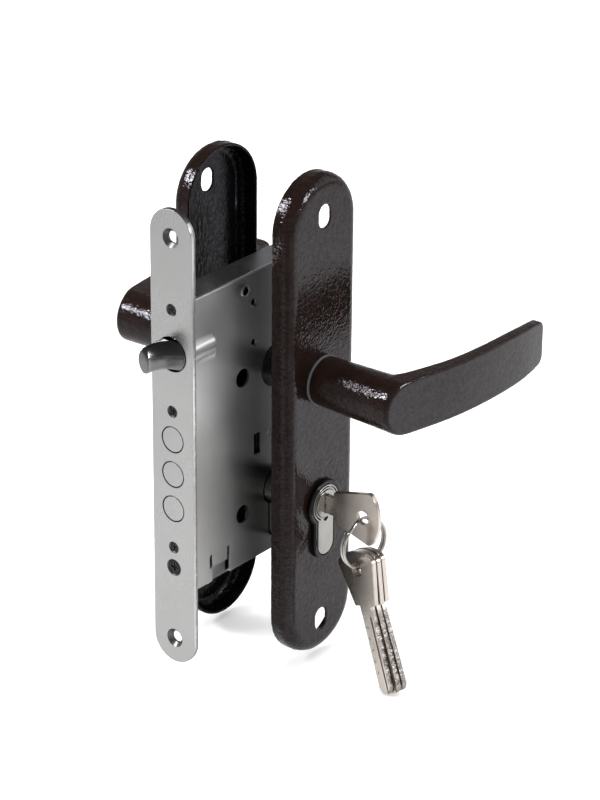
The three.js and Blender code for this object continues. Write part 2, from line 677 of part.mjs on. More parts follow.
function spareKey(place, leanDegrees) {
  const lean = (leanDegrees * Math.PI) / 180;
  const alongRing = new THREE.Vector3(Math.sin(RING.yaw), Math.cos(RING.yaw), 0);
  const along = new THREE.Vector3(Math.cos(RING.yaw), -Math.sin(RING.yaw), 0)
    .multiplyScalar(Math.sin(lean))
    .addScaledVector(DIR.z, -Math.cos(lean));
  // the outer two keys sit a little higher on the curve of the ring
  const shoulder = RING_CENTRE.clone()
    .addScaledVector(DIR.z, -RING.r)
    .addScaledVector(alongRing, SPARE_PITCH * place)
    .addScaledVector(along, 1.25 - 0.35 * Math.abs(place) + KEY.hole);
  return placedKey(along, alongRing, shoulder);
}
SPARE_LEAN.forEach((lean, i) => add(`spare_key_${i + 1}`, spareKey(i - 1, lean), MATERIAL.key));

export default lock;
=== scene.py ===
import bmesh
import bpy
import json
import math
import numpy as np
import random
from mathutils import Matrix, Vector, noise


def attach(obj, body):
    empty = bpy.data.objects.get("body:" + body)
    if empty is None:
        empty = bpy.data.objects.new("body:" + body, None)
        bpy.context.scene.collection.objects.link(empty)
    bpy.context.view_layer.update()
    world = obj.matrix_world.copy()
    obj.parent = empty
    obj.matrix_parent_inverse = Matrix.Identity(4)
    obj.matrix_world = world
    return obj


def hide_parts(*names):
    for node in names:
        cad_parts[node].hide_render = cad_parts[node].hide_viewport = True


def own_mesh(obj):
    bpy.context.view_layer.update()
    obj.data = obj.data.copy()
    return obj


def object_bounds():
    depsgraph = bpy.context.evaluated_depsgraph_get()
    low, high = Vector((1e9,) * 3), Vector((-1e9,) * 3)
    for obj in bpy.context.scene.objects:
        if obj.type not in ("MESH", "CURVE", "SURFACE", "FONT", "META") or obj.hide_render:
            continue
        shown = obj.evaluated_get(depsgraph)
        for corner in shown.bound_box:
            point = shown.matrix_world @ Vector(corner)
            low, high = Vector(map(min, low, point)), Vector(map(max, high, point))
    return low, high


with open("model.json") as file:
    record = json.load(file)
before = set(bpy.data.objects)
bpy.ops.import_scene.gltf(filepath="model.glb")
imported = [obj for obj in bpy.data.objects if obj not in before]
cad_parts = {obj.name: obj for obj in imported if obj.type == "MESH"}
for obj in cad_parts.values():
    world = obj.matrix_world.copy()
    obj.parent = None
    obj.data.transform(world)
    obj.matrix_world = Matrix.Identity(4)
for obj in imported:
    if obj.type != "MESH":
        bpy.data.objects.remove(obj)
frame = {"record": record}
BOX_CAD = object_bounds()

# Millimetres while a piece is being made; piece() scales it to metres.
BACKSET, CYL_Z = 60.0, -58.0
BODY_OF = {n: b for b, ns in frame["record"]["behaviour"]["bodies"].items() for n in ns}
shop = bpy.data.scenes.new("shop")


# ============================================================== solid kit
def make(verts, faces):
    me = bpy.data.meshes.new("w")
    me.from_pydata([tuple(v) for v in verts], [], faces)
    bm = bmesh.new()
    bm.from_mesh(me)
    bmesh.ops.recalc_face_normals(bm, faces=bm.faces)
    bm.to_mesh(me)
    bm.free()
    return me


def place(axis, a, u, v):
    """a along the axis letter; u, v on the other two in the order y,z / x,z / x,y."""
    return (a, u, v) if axis == "x" else (u, a, v) if axis == "y" else (u, v, a)


def loft(rings):
    n = len(rings[0])
    verts = [p for r in rings for p in r]
    faces = []
    for k in range(len(rings) - 1):
        for i in range(n):
            j = (i + 1) % n
            faces.append((k * n + i, k * n + j, (k + 1) * n + j, (k + 1) * n + i))
    faces.append(tuple(range(n))[::-1])
    faces.append(tuple((len(rings) - 1) * n + i for i in range(n)))
    return make(verts, faces)


def rod(axis, r0, r1, a0, a1, c1, c2, seg=64):
    ring = lambda r, a: [place(axis, a, c1 + r * math.cos(2 * math.pi * i / seg), c2 + r * math.sin(2 * math.pi * i / seg)) for i in range(seg)]
    return loft([ring(r0, a0), ring(r1, a1)])


def lathe(axis, prof, c1, c2, seg=64):
    """prof: (position along the axis, radius) from end to end, all radii above 0."""
    ring = lambda r, a: [place(axis, a, c1 + r * math.cos(2 * math.pi * i / seg), c2 + r * math.sin(2 * math.pi * i / seg)) for i in range(seg)]
    return loft([ring(r, a) for a, r in prof])


def prism(axis, pts, a0, a1):
    return loft([[place(axis, a, u, v) for u, v in pts] for a in (a0, a1)])


def box(x0, x1, y0, y1, z0, z1):
    return prism("z", [(x0, y0), (x1, y0), (x1, y1), (x0, y1)], z0, z1)


def stadium(w, bottom, top, cu=0.0, n=40):
    r = w / 2
    up = [(cu + r * math.cos(math.pi * i / n), top - r + r * math.sin(math.pi * i / n)) for i in range(n + 1)]
    dn = [(cu + r * math.cos(math.pi + math.pi * i / n), bottom + r + r * math.sin(math.pi + math.pi * i / n)) for i in range(n + 1)]
    return up + dn


def euro(o=0.0, n=26):
    r, h, zb = 8.5 + o, 5.0 + o, CYL_Z - 19.5
    a0 = math.asin(h / r)
    pts = []
    for i in range(2 * n + 1):
        a = -math.pi / 2 + a0 + (2 * math.pi - 2 * a0) * i / (2 * n)
        pts.append((BACKSET + r * math.cos(a), CYL_Z + r * math.sin(a)))
    for i in range(n + 1):
        a = math.pi + math.pi * i / n
        pts.append((BACKSET + h * math.cos(a), zb + h * math.sin(a)))
    return pts


def spline(pts, per=6):
    """Catmull-Rom through the points, open."""
    p = [np.array(q, float) for q in pts]
    p = [2 * p[0] - p[1]] + p + [2 * p[-1] - p[-2]]
    out = []
    for i in range(1, len(p) - 2):
        for k in range(per):
            t = k / per
            out.append(0.5 * ((2 * p[i]) + (p[i + 1] - p[i - 1]) * t + (2 * p[i - 1] - 5 * p[i] + 4 * p[i + 1] - p[i + 2]) * t * t + (3 * p[i] - p[i - 1] - 3 * p[i + 1] + p[i + 2]) * t ** 3))
    out.append(p[-2])
    return [tuple(q) for q in out]


def tube(points, radius, sides=12, flat=1.0):
    """Round wire through the points, with rounded ends."""
    P = [Vector(p) for p in points]
    T = [(P[min(i + 1, len(P) - 1)] - P[max(i - 1, 0)]).normalized() for i in range(len(P))]
    n = T[0].orthogonal().normalized()
    rings = []

    def ring(c, t, nn, r):
        b = t.cross(nn)
        return [tuple(c + (nn * math.cos(2 * math.pi * k / sides) + b * math.sin(2 * math.pi * k / sides)) * r) for k in range(sides)]

    for i, (c, t) in enumerate(zip(P, T)):
        n = (n - t * n.dot(t)).normalized()
        if i == 0:
            for f in (0.35, 0.75):
                rings.append(ring(c - t * radius * 0.5 * math.sqrt(1 - f * f), t, n, radius * f))
        rings.append(ring(c, t, n, radius))
        if i == len(P) - 1:
            for f in (0.75, 0.35):
                rings.append(ring(c + t * radius * 0.5 * math.sqrt(1 - f * f), t, n, radius * f))
    return loft(rings)


def coil(axis, R, wire, turns, a0, a1, c1, c2, seg=24, sides=10):
    """Compression spring with an even pitch from end to end."""
    pts, n = [], int(turns * seg)
    for i in range(n + 1):
        a = 2 * math.pi * i / seg
        s = a0 + wire + (a1 - a0 - 2 * wire) * i / n
        pts.append(place(axis, s, c1 + R * math.cos(a), c2 + R * math.sin(a)))
    return tube(pts, wire, sides)


def boolean(base, ops):
    made = [bpy.data.objects.new("w", base)]
    for op, me in ops:
        c = bpy.data.objects.new("c", me)
        made.append(c)
        m = made[0].modifiers.new("b", "BOOLEAN")
        m.operation, m.object, m.solver = op, c, "MANIFOLD"
    for o in made:
        shop.collection.objects.link(o)
    vl = shop.view_layers[0]
    vl.update()
    dg = vl.depsgraph
    out = bpy.data.meshes.new_from_object(made[0].evaluated_get(dg), depsgraph=dg)
    for o in made:
        bpy.data.objects.remove(o)
    return out


def cut(a, *bs):
    return boolean(a, [("DIFFERENCE", b) for b in bs])


def join(a, *bs):
    return boolean(a, [("UNION", b) for b in bs])


def inter(a, b):
    return boolean(a, [("INTERSECT", b)])


def flipped(me):
    """Mirror image in X."""
    out = me.copy()
    out.transform(Matrix.Diagonal((-1, 1, 1, 1)))
    out.flip_normals()
    return out


def moved(me, m):
    out = me.copy()
    out.transform(m)
    return out


def piece(name, me, mat, bevels=((0.15, 2, None),), node=None, angle=28.0, sharp=38.0, clean=True, smooth_all=False):
    """Clean, round the edges, scale to metres, add to the scene, ride on the CAD node's body and stand for it."""
    node = node or name
    bm = bmesh.new()
    bm.from_mesh(me)
    if clean:
        bmesh.ops.remove_doubles(bm, verts=bm.verts, dist=0.004)
        bmesh.ops.dissolve_degenerate(bm, edges=bm.edges, dist=0.002)
        bmesh.ops.dissolve_limit(bm, angle_limit=math.radians(0.25), verts=bm.verts, edges=bm.edges)
    for width, segs, pick in bevels or ():
        edges = [e for e in bm.edges if len(e.link_faces) == 2 and e.calc_face_angle(0.0) > math.radians(angle) and (pick is None or pick(e))]
        if edges:
            bmesh.ops.bevel(bm, geom=edges, offset=width, offset_type="OFFSET", segments=segs, profile=0.5, affect="EDGES", clamp_overlap=False, material=-1, loop_slide=True)
    if clean:
        bmesh.ops.remove_doubles(bm, verts=bm.verts, dist=0.002)
    bmesh.ops.recalc_face_normals(bm, faces=bm.faces)
    out = bpy.data.meshes.new(name)
    bm.to_mesh(out)
    bm.free()
    out.transform(Matrix.Diagonal((0.001, 0.001, 0.001, 1)))
    out.materials.clear()
    out.materials.append(mat)
    out.polygons.foreach_set("use_smooth", [True] * len(out.polygons))
    o = bpy.data.objects.new(name + "_look", out)
    bpy.context.scene.collection.objects.link(o)
    if not smooth_all:
        out.set_sharp_from_angle(angle=math.radians(sharp))
        wn = o.modifiers.new("normals", "WEIGHTED_NORMAL")
        wn.keep_sharp, wn.weight = True, 60
    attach(o, BODY_OF[node])
    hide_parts(node)
    return o


# ============================================================== smooth volumes for the enamelled pieces
def smax(a, b, k):
    h = np.maximum(k - np.abs(a - b), 0.0) / k
    return np.maximum(a, b) + h * h * k * 0.25


def smin(a, b, k):
    h = np.maximum(k - np.abs(a - b), 0.0) / k
    return np.minimum(a, b) - h * h * k * 0.25


def surface(f, lo, hi, step):
    """Closed quad mesh on f = 0 (f below 0 inside), with its vertices moved onto the surface."""
    ax = [np.arange(lo[i], hi[i] + step[i], step[i]) for i in range(3)]
    X, Y, Z = np.meshgrid(*ax, indexing="ij")
    V = f(X, Y, Z)
    S = V < 0
    nx, ny, nz = V.shape
    corner = [(i, j, k) for i in (0, 1) for j in (0, 1) for k in (0, 1)]
    sl = lambda c: tuple(slice(c[d], V.shape[d] - 1 + c[d]) for d in range(3))
    count = sum(S[sl(c)].astype(np.int8) for c in corner)
    active = (count > 0) & (count < 8)
    idx = -np.ones(active.shape, int)
    cells = np.argwhere(active)
    idx[active] = np.arange(len(cells))
    pos, num = np.zeros((len(cells), 3)), np.zeros(len(cells))
    ci = cells.T
    for d in range(3):
        for u in (0, 1):
            for v in (0, 1):
                a = [0, 0, 0]
                o1, o2 = [q for q in range(3) if q != d]
                a[o1], a[o2] = u, v
                b = list(a)
                b[d] = 1
                va = V[ci[0] + a[0], ci[1] + a[1], ci[2] + a[2]]
                vb = V[ci[0] + b[0], ci[1] + b[1], ci[2] + b[2]]
                m = (va < 0) != (vb < 0)
                t = np.where(m, va / np.where(m, va - vb, 1.0), 0.0)
                p = np.array(a, float)[None, :].repeat(len(cells), 0)
                p[:, d] = t
                pos += p * m[:, None]
                num += m
    pos /= num[:, None]
    P = np.stack([ax[d][0] + (cells[:, d] + pos[:, d]) * step[d] for d in range(3)], 1)
    e = 0.02
    for _ in range(3):
        v = f(P[:, 0], P[:, 1], P[:, 2])
        g = np.stack([f(P[:, 0] + e, P[:, 1], P[:, 2]) - v, f(P[:, 0], P[:, 1] + e, P[:, 2]) - v, f(P[:, 0], P[:, 1], P[:, 2] + e) - v], 1) / e
        gg = np.maximum((g * g).sum(1), 0.25)
        move = -(v / gg)[:, None] * g
        ln = np.linalg.norm(move, axis=1)
        move *= np.minimum(1.0, 0.3 * min(step) / np.maximum(ln, 1e-9))[:, None]
        P += move
    quads = []
    for d in range(3):
        o1, o2 = [q for q in range(3) if q != d]
        a = [slice(1, V.shape[q] - 1) for q in range(3)]
        a[d] = slice(0, V.shape[d] - 1)
        b = list(a)
        b[d] = slice(1, V.shape[d])
        sa, sb = S[tuple(a)], S[tuple(b)]
        cr = np.argwhere(sa != sb)
        inside_first = sa[sa != sb]
        base = cr.copy()
        for q in (o1, o2):
            base[:, q] += 1
        get = lambda s1, s2: idx[tuple((base[:, q] - (s1 if q == o1 else s2 if q == o2 else 0)) for q in range(3))]
        q4 = np.stack([get(1, 1), get(0, 1), get(0, 0), get(1, 0)], 1)
        fwd = inside_first if d != 1 else ~inside_first
        quads.append(np.where(fwd[:, None], q4, q4[:, ::-1]))
    Q = np.concatenate(quads)
    me = bpy.data.meshes.new("w")
    me.vertices.add(len(P))
    me.vertices.foreach_set("co", P.astype(np.float32).ravel())
    me.loops.add(len(Q) * 4)
    me.loops.foreach_set("vertex_index", Q.astype(np.int32).ravel())
    me.polygons.add(len(Q))
    me.polygons.foreach_set("loop_start", np.arange(0, len(Q) * 4, 4, dtype=np.int32))
    me.update(calc_edges=True)
    return me


def hammer(me, fn):
    """Moves each vertex along its normal by fn(position, normal) millimetres."""
    n = len(me.vertices)
    co, no = np.zeros(n * 3, np.float32), np.zeros(n * 3, np.float32)
    me.vertices.foreach_get("co", co)
    me.vertices.foreach_get("normal", no)
    co, no = co.reshape(-1, 3), no.reshape(-1, 3)
    d = np.array([fn(p, q) for p, q in zip(co.tolist(), no.tolist())], np.float32)
    me.vertices.foreach_set("co", (co + no * d[:, None]).ravel())
    me.update()
    return me


def ripple(p, s, w=1.0):
    return noise.noise(Vector((p[0] * s, p[1] * s, p[2] * s))) * w


def crease(p, s, w=1.0):
    """Thin raised wrinkles where a noise field crosses zero."""
    v = noise.noise(Vector((p[0] * s, p[1] * s, p[2] * s)))
    return w * math.exp(-(v / 0.11) ** 2)


# ============================================================== materials
class M:
    """A small wrapper for building node materials."""

    def __init__(self, name):
        self.m = bpy.data.materials.new(name)
        self.m.use_nodes = True
        self.t = self.m.node_tree
        self.t.nodes.clear()
        self.xyz = self.n("TexCoord").outputs["Object"]

    def n(self, kind, props=None, **ins):
        nd = self.t.nodes.new("ShaderNode" + kind)
        for k, v in (props or {}).items():
            setattr(nd, k, v)
        for k, v in ins.items():
            s = nd.inputs[int(k[1:])] if k[0] == "i" and k[1:].isdigit() else nd.inputs[k.replace("_", " ")]
            if isinstance(v, bpy.types.NodeSocket):
                self.t.links.new(v, s)
            else:
                s.default_value = v
        return nd

    def scaled(self, sx, sy, sz, src=None):
        return self.n("VectorMath", {"operation": "MULTIPLY"}, i0=src or self.xyz, i1=(sx, sy, sz)).outputs[0]

    def noise(self, scale, detail=3.0, rough=0.55, vec=None, distort=0.0):
        return self.n("TexNoise", Vector=vec or self.xyz, Scale=scale, Detail=detail, Roughness=rough, Distortion=distort).outputs["Fac"]

    def voronoi(self, scale, feature="F1", vec=None, rnd=1.0):
        return self.n("TexVoronoi", {"feature": feature}, Vector=vec or self.xyz, Scale=scale, Randomness=rnd).outputs["Distance"]

    def ramp(self, fac, lo, hi, a=0.0, b=1.0, smooth=True):
        return self.n("MapRange", {"interpolation_type": "SMOOTHSTEP" if smooth else "LINEAR"}, i0=fac, i1=lo, i2=hi, i3=a, i4=b).outputs[0]

    def math(self, op, a, b=0.0, c=0.0):
        return self.n("Math", {"operation": op}, i0=a, i1=b, i2=c).outputs[0]

    def mix(self, fac, a, b):
        nd = self.n("Mix", {"data_type": "RGBA"}, i0=fac)
        for k, v in ((6, a), (7, b)):
            if isinstance(v, bpy.types.NodeSocket):
                self.t.links.new(v, nd.inputs[k])
            else:
                nd.inputs[k].default_value = (*v, 1.0)
        return nd.outputs[2]

    def bump(self, height, dist_mm, strength=1.0, normal=None):
        nd = self.n("Bump", Height=height, Distance=dist_mm * 0.001, Strength=strength)
        if normal is not None:
            self.t.links.new(normal, nd.inputs["Normal"])
        return nd.outputs[0]

    def edge(self, radius_mm):
        """1 on worn outer edges, 0 on flats."""
        bev = self.n("Bevel", {"samples": 4}, Radius=radius_mm * 0.001).outputs[0]
        geo = self.n("NewGeometry").outputs["Normal"]
        dot = self.n("VectorMath", {"operation": "DOT_PRODUCT"}, i0=bev, i1=geo).outputs["Value"]
        return self.ramp(dot, 0.995, 0.90, 0.0, 1.0)

    def done(self, **ins):
        b = self.n("BsdfPrincipled")
        for k, v in ins.items():
            s = b.inputs[k.replace("_", " ")]
            if isinstance(v, bpy.types.NodeSocket):
                self.t.links.new(v, s)
            elif isinstance(v, tuple) and len(v) == 3:
                s.default_value = (*v, 1.0)
            else:
                s.default_value = v
        out = self.n("OutputMaterial")
        self.t.links.new(b.outputs[0], out.inputs[0])
        return self.m


def metal(name, col, col2, rough, grain=(1.0, 1.0, 1.0), grain_mm=0.25, bump_mm=0.002, scratch=0.35, smudge=0.08, edge=0.3, wear_col=None, aniso=0.0, extra=None):
    """Brushed or ground metal: grain stretched along one axis, fine scratches, smudges and bright worn edges."""
    m = M(name)
    g = m.noise(1000.0 / grain_mm, 4.0, 0.6, m.scaled(*grain))
    fine = m.noise(2600.0 / grain_mm, 2.0, 0.5, m.scaled(*grain))
    blot = m.noise(60.0, 3.0, 0.5)
    soft = m.noise(22.0, 2.0, 0.5)
    sv = m.scaled(grain[0], grain[1], grain[2])
    scr = m.ramp(m.noise(1400.0, 1.0, 0.3, sv, 0.3), 0.74, 0.80)
    e = m.edge(0.35)
    c = m.mix(m.ramp(blot, 0.3, 0.7), col, col2)
    c = m.mix(m.math("MULTIPLY", scr, scratch), c, tuple(min(1.0, x * 1.2) for x in col))
    c = m.mix(m.math("MULTIPLY", e, edge), c, wear_col or tuple(min(1.0, x * 1.3 + 0.05) for x in col))
    r = m.math("ADD", m.ramp(soft, 0.3, 0.7, rough - smudge, rough + smudge), m.ramp(g, 0.3, 0.7, -0.012, 0.012))
    h = m.math("ADD", m.math("ADD", g, m.math("MULTIPLY", fine, 0.4)), m.math("MULTIPLY", scr, -scratch))
    if extra:
        c, r, h = extra(m, c, r, h)
    if aniso:
        tan = m.n("Tangent", {"direction_type": "RADIAL", "axis": "Z"}).outputs[0]
        return m.done(Base_Color=c, Metallic=1.0, Roughness=r, Normal=m.bump(h, bump_mm), Anisotropic=aniso, Tangent=tan)
    return m.done(Base_Color=c, Metallic=1.0, Roughness=r, Normal=m.bump(h, bump_mm))


def painted_top_shade(m, c, r, h):
    """Painted shade: the upper half of the latch is darkened, less so at its tip."""
    p = m.n("SeparateXYZ", i0=m.xyz)
    z = m.math("ADD", p.outputs[2], m.math("MULTIPLY", m.math("SUBTRACT", m.noise(500.0, 3.0, 0.6), 0.5), 0.004))
    top = m.math("MULTIPLY", m.ramp(z, 0.0215, 0.0255, 0.0, 0.72), m.ramp(p.outputs[1], -0.0125, -0.0095, 0.35, 1.0))
    return m.mix(top, c, (0.035, 0.034, 0.032)), r, h


def rimmed(m, c, r, h):
    """Darker, rougher chamfer round each bolt's end."""
    ny = m.math("ABSOLUTE", m.n("SeparateXYZ", i0=m.n("NewGeometry").outputs["Normal"]).outputs[1])
    end = m.ramp(m.n("SeparateXYZ", i0=m.xyz).outputs[1], 0.0008, 0.0012, 1.0, 0.0)
    k = m.math("MULTIPLY", m.ramp(ny, 0.90, 0.985, 0.88, 0.0), end)
    return m.mix(k, c, (0.04, 0.04, 0.038)), m.math("ADD", r, m.math("MULTIPLY", k, 0.2)), h


def sheared_and_hole_shade(m, c, r, h):
    """Blanked edge of the forend: bright shear band in front, dark torn band behind, and painted shade in the holes."""
    p = m.n("SeparateXYZ", i0=m.xyz)
    side = m.ramp(m.math("ABSOLUTE", m.n("SeparateXYZ", i0=m.n("NewGeometry").outputs["Normal"]).outputs[1]), 0.25, 0.45, 1.0, 0.0)
    wob = m.math("MULTIPLY", m.math("SUBTRACT", m.noise(420.0, 3.0, 0.6, m.scaled(1.0, 0.0, 1.0)), 0.5), 0.0016)
    y = m.math("ADD", p.outputs[1], wob)
    torn = m.math("MULTIPLY", side, m.ramp(y, 0.00125, 0.00150))
    lip = m.math("MULTIPLY", side, m.ramp(y, 0.0021, 0.0023))
    tear = m.noise(2100.0, 3.0, 0.7)
    c = m.mix(m.math("MULTIPLY", torn, m.ramp(tear, 0.3, 0.65, 0.95, 0.45)), c, (0.06, 0.06, 0.058))
    c = m.mix(m.math("MULTIPLY", lip, 0.5), c, (0.5, 0.5, 0.5))
    # painted shade: the walls and countersinks of the holes are darkened and made rougher
    ny = m.math("ABSOLUTE", m.n("SeparateXYZ", i0=m.n("NewGeometry").outputs["Normal"]).outputs[1])
    hole = m.math("MULTIPLY", m.ramp(m.math("ABSOLUTE", p.outputs[0]), 0.0086, 0.0090, 1.0, 0.0), m.ramp(ny, 0.80, 0.90, 1.0, 0.0))
    c = m.mix(m.math("MULTIPLY", hole, 0.80), c, (0.05, 0.05, 0.048))
    r = m.math("ADD", r, m.math("MULTIPLY", hole, 0.12))
    r = m.math("ADD", r, m.math("MULTIPLY", torn, 0.18))
    h = m.math("ADD", h, m.math("MULTIPLY", m.math("MULTIPLY", torn, tear), 14.0))
    return c, r, h


def deeper(m, c, r, h):
    """Painted shade: the zinc coat is painted duller and darker towards the back of the case, where the plates shade
    it.
    """
    back = m.ramp(m.n("SeparateXYZ", i0=m.xyz).outputs[1], 0.029, 0.049, 0.0, 0.62)
    return m.mix(back, c, (0.03, 0.03, 0.032)), r, h


def enamel(name, wrinkle=1.0, tint=1.0, drop=0.08):
    """Hammered dark brown enamel: thick glossy paint, pooled wrinkles, brown metallic fleck below the gloss."""
    m = M(name)
    inner = m.n("Attribute", {"attribute_name": "inner"}).outputs["Fac"]
    coarse = m.n("Attribute", {"attribute_name": "coarse"}).outputs["Fac"]
    w = m.noise(560.0, 1.5, 0.5, None, 0.8)
    grit = m.noise(1400.0, 2.0, 0.55)
    cell = m.voronoi(1000.0, "SMOOTH_F1")
    fleck = m.ramp(m.voronoi(1700.0), 0.05, 0.30, 1.0, 0.0)
    tone = m.noise(140.0, 3.0, 0.6)
    pool = m.ramp(w, 0.35, 0.65)
    c = m.mix(m.ramp(tone, 0.35, 0.7), (0.0048 * tint, 0.0028 * tint, 0.0022 * tint), (0.0100 * tint, 0.0056 * tint, 0.0043 * tint))
    c = m.mix(m.math("MULTIPLY", pool, 0.45), c, (0.0018, 0.0014, 0.0014))
    c = m.mix(m.math("MULTIPLY", fleck, m.ramp(coarse, 0.0, 1.0, 0.08, 0.26, smooth=False)), c, (0.080 * tint, 0.046 * tint, 0.034 * tint))
    c = m.mix(m.math("MULTIPLY", coarse, 0.28), c, (0.0200, 0.0095, 0.0065))
    # painted shade: the inside of the tray is darker here, with less sheen below, as if in shadow
    c = m.mix(inner, c, (0.0022, 0.0020, 0.0025))
    h = m.math("ADD", m.math("ADD", w, m.math("MULTIPLY", cell, 0.35)), m.math("MULTIPLY", grit, 0.07))
    h = m.math("MULTIPLY", h, m.ramp(coarse, 0.0, 1.0, 0.20, 1.0, smooth=False))
    r = m.math("ADD", m.ramp(m.noise(260.0, 3.0, 0.6), 0.3, 0.75, 0.07, 0.13), m.math("MULTIPLY", inner, 0.10))
    # seen by way of another piece the gloss is blurred, or its glints come out as specks there
    r = m.math("ADD", r, m.math("MULTIPLY", m.n("LightPath").outputs["Is Glossy Ray"], 0.35))
    # thin and thick spots of the paint give back more or less light
    sheen = m.math("ADD", m.ramp(m.math("ADD", w, m.math("MULTIPLY", grit, 0.4)), 0.52, 0.88, 0.50, 0.37), m.math("MULTIPLY", coarse, -drop))
    sheen = m.math("SUBTRACT", sheen, m.math("MULTIPLY", inner, 0.19))
    return m.done(Base_Color=c, Metallic=0.0, Roughness=r, IOR=1.50, Specular_IOR_Level=sheen, Specular_Tint=(0.92, 0.90, 1.0), Normal=m.bump(h, 0.27 * wrinkle))


# the forend's holes get painted shade
MAT_NICKEL = metal("satin_nickel", (0.655, 0.655, 0.65), (0.635, 0.635, 0.63), 0.27, (1.0, 1.0, 0.03), 0.20, 0.0004, 0.12, 0.03, 0.2, extra=sheared_and_hole_shade)
MAT_ZINC = metal("zinc_sheet", (0.61, 0.615, 0.61), (0.54, 0.545, 0.545), 0.27, (1.0, 1.0, 0.05), 0.30, 0.0004, 0.1, 0.04, 0.6)
# the cover gets painted shade towards the back of the case
MAT_COVER = metal("zinc_cover", (0.56, 0.565, 0.56), (0.52, 0.525, 0.52), 0.345, (1.0, 1.0, 0.05), 0.30, 0.0, 0.0, 0.03, 0.6, (0.75, 0.755, 0.75), 0.66, deeper)
MAT_STEEL = metal("machined_steel", (0.42, 0.42, 0.425), (0.33, 0.33, 0.335), 0.34, (1.0, 1.0, 1.0), 0.30, 0.003, 0.3, 0.07, 0.35)
MAT_SCREW = metal("screw_steel", (0.05, 0.05, 0.05), (0.03, 0.03, 0.03), 0.33, (1.0, 1.0, 1.0), 0.25, 0.004, 0.3, 0.08, 0.7, (0.40, 0.40, 0.40))
# the latch steel gets painted shade on its upper half
MAT_LATCH = metal("latch_steel", (0.33, 0.335, 0.33), (0.22, 0.225, 0.22), 0.22, (0.06, 0.35, 1.0), 0.30, 0.005, 0.5, 0.06, 0.5, (0.6, 0.6, 0.59), extra=painted_top_shade)
MAT_BOLT = metal("bolt_nickel", (0.66, 0.66, 0.655), (0.61, 0.61, 0.61), 0.28, (0.25, 1.0, 0.25), 0.25, 0.0008, 0.2, 0.04, 0.3, extra=rimmed)
MAT_CYL = metal("nickel_cylinder", (0.38, 0.375, 0.36), (0.32, 0.315, 0.30), 0.20, (1.0, 0.08, 1.0), 0.22, 0.0016, 0.3, 0.05, 0.5)
MAT_SPRING = metal("spring_wire", (0.42, 0.42, 0.43), (0.30, 0.30, 0.31), 0.28, (1.0, 1.0, 1.0), 0.3, 0.003, 0.3, 0.06, 0.0)
MAT_BRASS = metal("pin_brass", (0.62, 0.45, 0.20), (0.50, 0.35, 0.15), 0.32, (1.0, 1.0, 0.2), 0.25, 0.003, 0.3, 0.07, 0.3)
MAT_CHROME = metal("ring_chrome", (0.62, 0.60, 0.57), (0.48, 0.46, 0.44), 0.13, (1.0, 1.0, 1.0), 0.30, 0.0015, 0.3, 0.04, 0.0)
MAT_ENAMEL = enamel("hammer_enamel", 1.0, 1.0, 0.22)
MAT_ENAMEL_LEVER = enamel("hammer_enamel_lever", 0.85, 1.0, 0.09)


def key_metal():
    """Warm satin nickel with long polishing lines, and a dense milled grain on the blade's edges."""
    m = M("key_nickel")
    g = m.noise(3400.0, 3.0, 0.6, m.scaled(0.08, 1.0, 1.0))
    blot = m.noise(120.0, 4.0, 0.6)
    dots = m.noise(2300.0, 2.0, 0.6)
    flat = m.n("VectorMath", {"operation": "DOT_PRODUCT"}, i0=m.n("NewGeometry").outputs["Normal"], i1=(0.113, 0.9936, 0.0)).outputs["Value"]
    rim = m.ramp(m.math("ABSOLUTE", flat), 0.80, 0.93, 1.0, 0.0)
    mask = m.math("MULTIPLY", m.n("Attribute", {"attribute_name": "blade"}).outputs["Fac"], rim)
    grain = m.math("MULTIPLY", dots, mask)
    e = m.edge(0.3)
    c = m.mix(m.ramp(blot, 0.3, 0.7), (0.67, 0.605, 0.55), (0.58, 0.525, 0.475))
    c = m.mix(m.math("MULTIPLY", m.ramp(dots, 0.44, 0.60), m.math("MULTIPLY", mask, 0.80)), c, (0.13, 0.127, 0.125))
    c = m.mix(m.math("MULTIPLY", mask, 0.45), c, (0.12, 0.118, 0.115))
    c = m.mix(m.math("MULTIPLY", m.math("MULTIPLY", e, 0.35), m.math("SUBTRACT", 1.0, mask)), c, (0.86, 0.83, 0.78))
    r = m.math("ADD", m.ramp(m.noise(45.0, 2.0, 0.5), 0.3, 0.7, 0.20, 0.28), m.math("MULTIPLY", mask, 0.08))
    h = m.math("ADD", m.math("MULTIPLY", g, 0.03), m.math("MULTIPLY", grain, 2.2))
    return m.done(Base_Color=c, Metallic=1.0, Roughness=r, Normal=m.bump(h, 0.06))


def plastic(name, col, rough, bump_mm, scale, level=0.5):
    m = M(name)
    a = m.noise(scale, 3.0, 0.55)
    b = m.noise(70.0, 3.0, 0.5)
    c = m.mix(m.ramp(b, 0.3, 0.7), col, tuple(x * 0.75 for x in col))
    e = m.edge(0.25)
    c = m.mix(m.math("MULTIPLY", e, 0.25), c, tuple(x * 1.5 + 0.01 for x in col))
    r = m.ramp(b, 0.3, 0.7, rough * 0.85, rough * 1.25)
    return m.done(Base_Color=c, Roughness=r, IOR=1.5, Specular_IOR_Level=level, Normal=m.bump(a, bump_mm))


MAT_KEY = key_metal()
MAT_BLACK = plastic("black_surround", (0.002, 0.002, 0.002), 0.07, 0.003, 900.0, level=0.30)
MAT_GREY = plastic("grey_bush", (0.085, 0.091, 0.093), 0.42, 0.01, 2200.0)

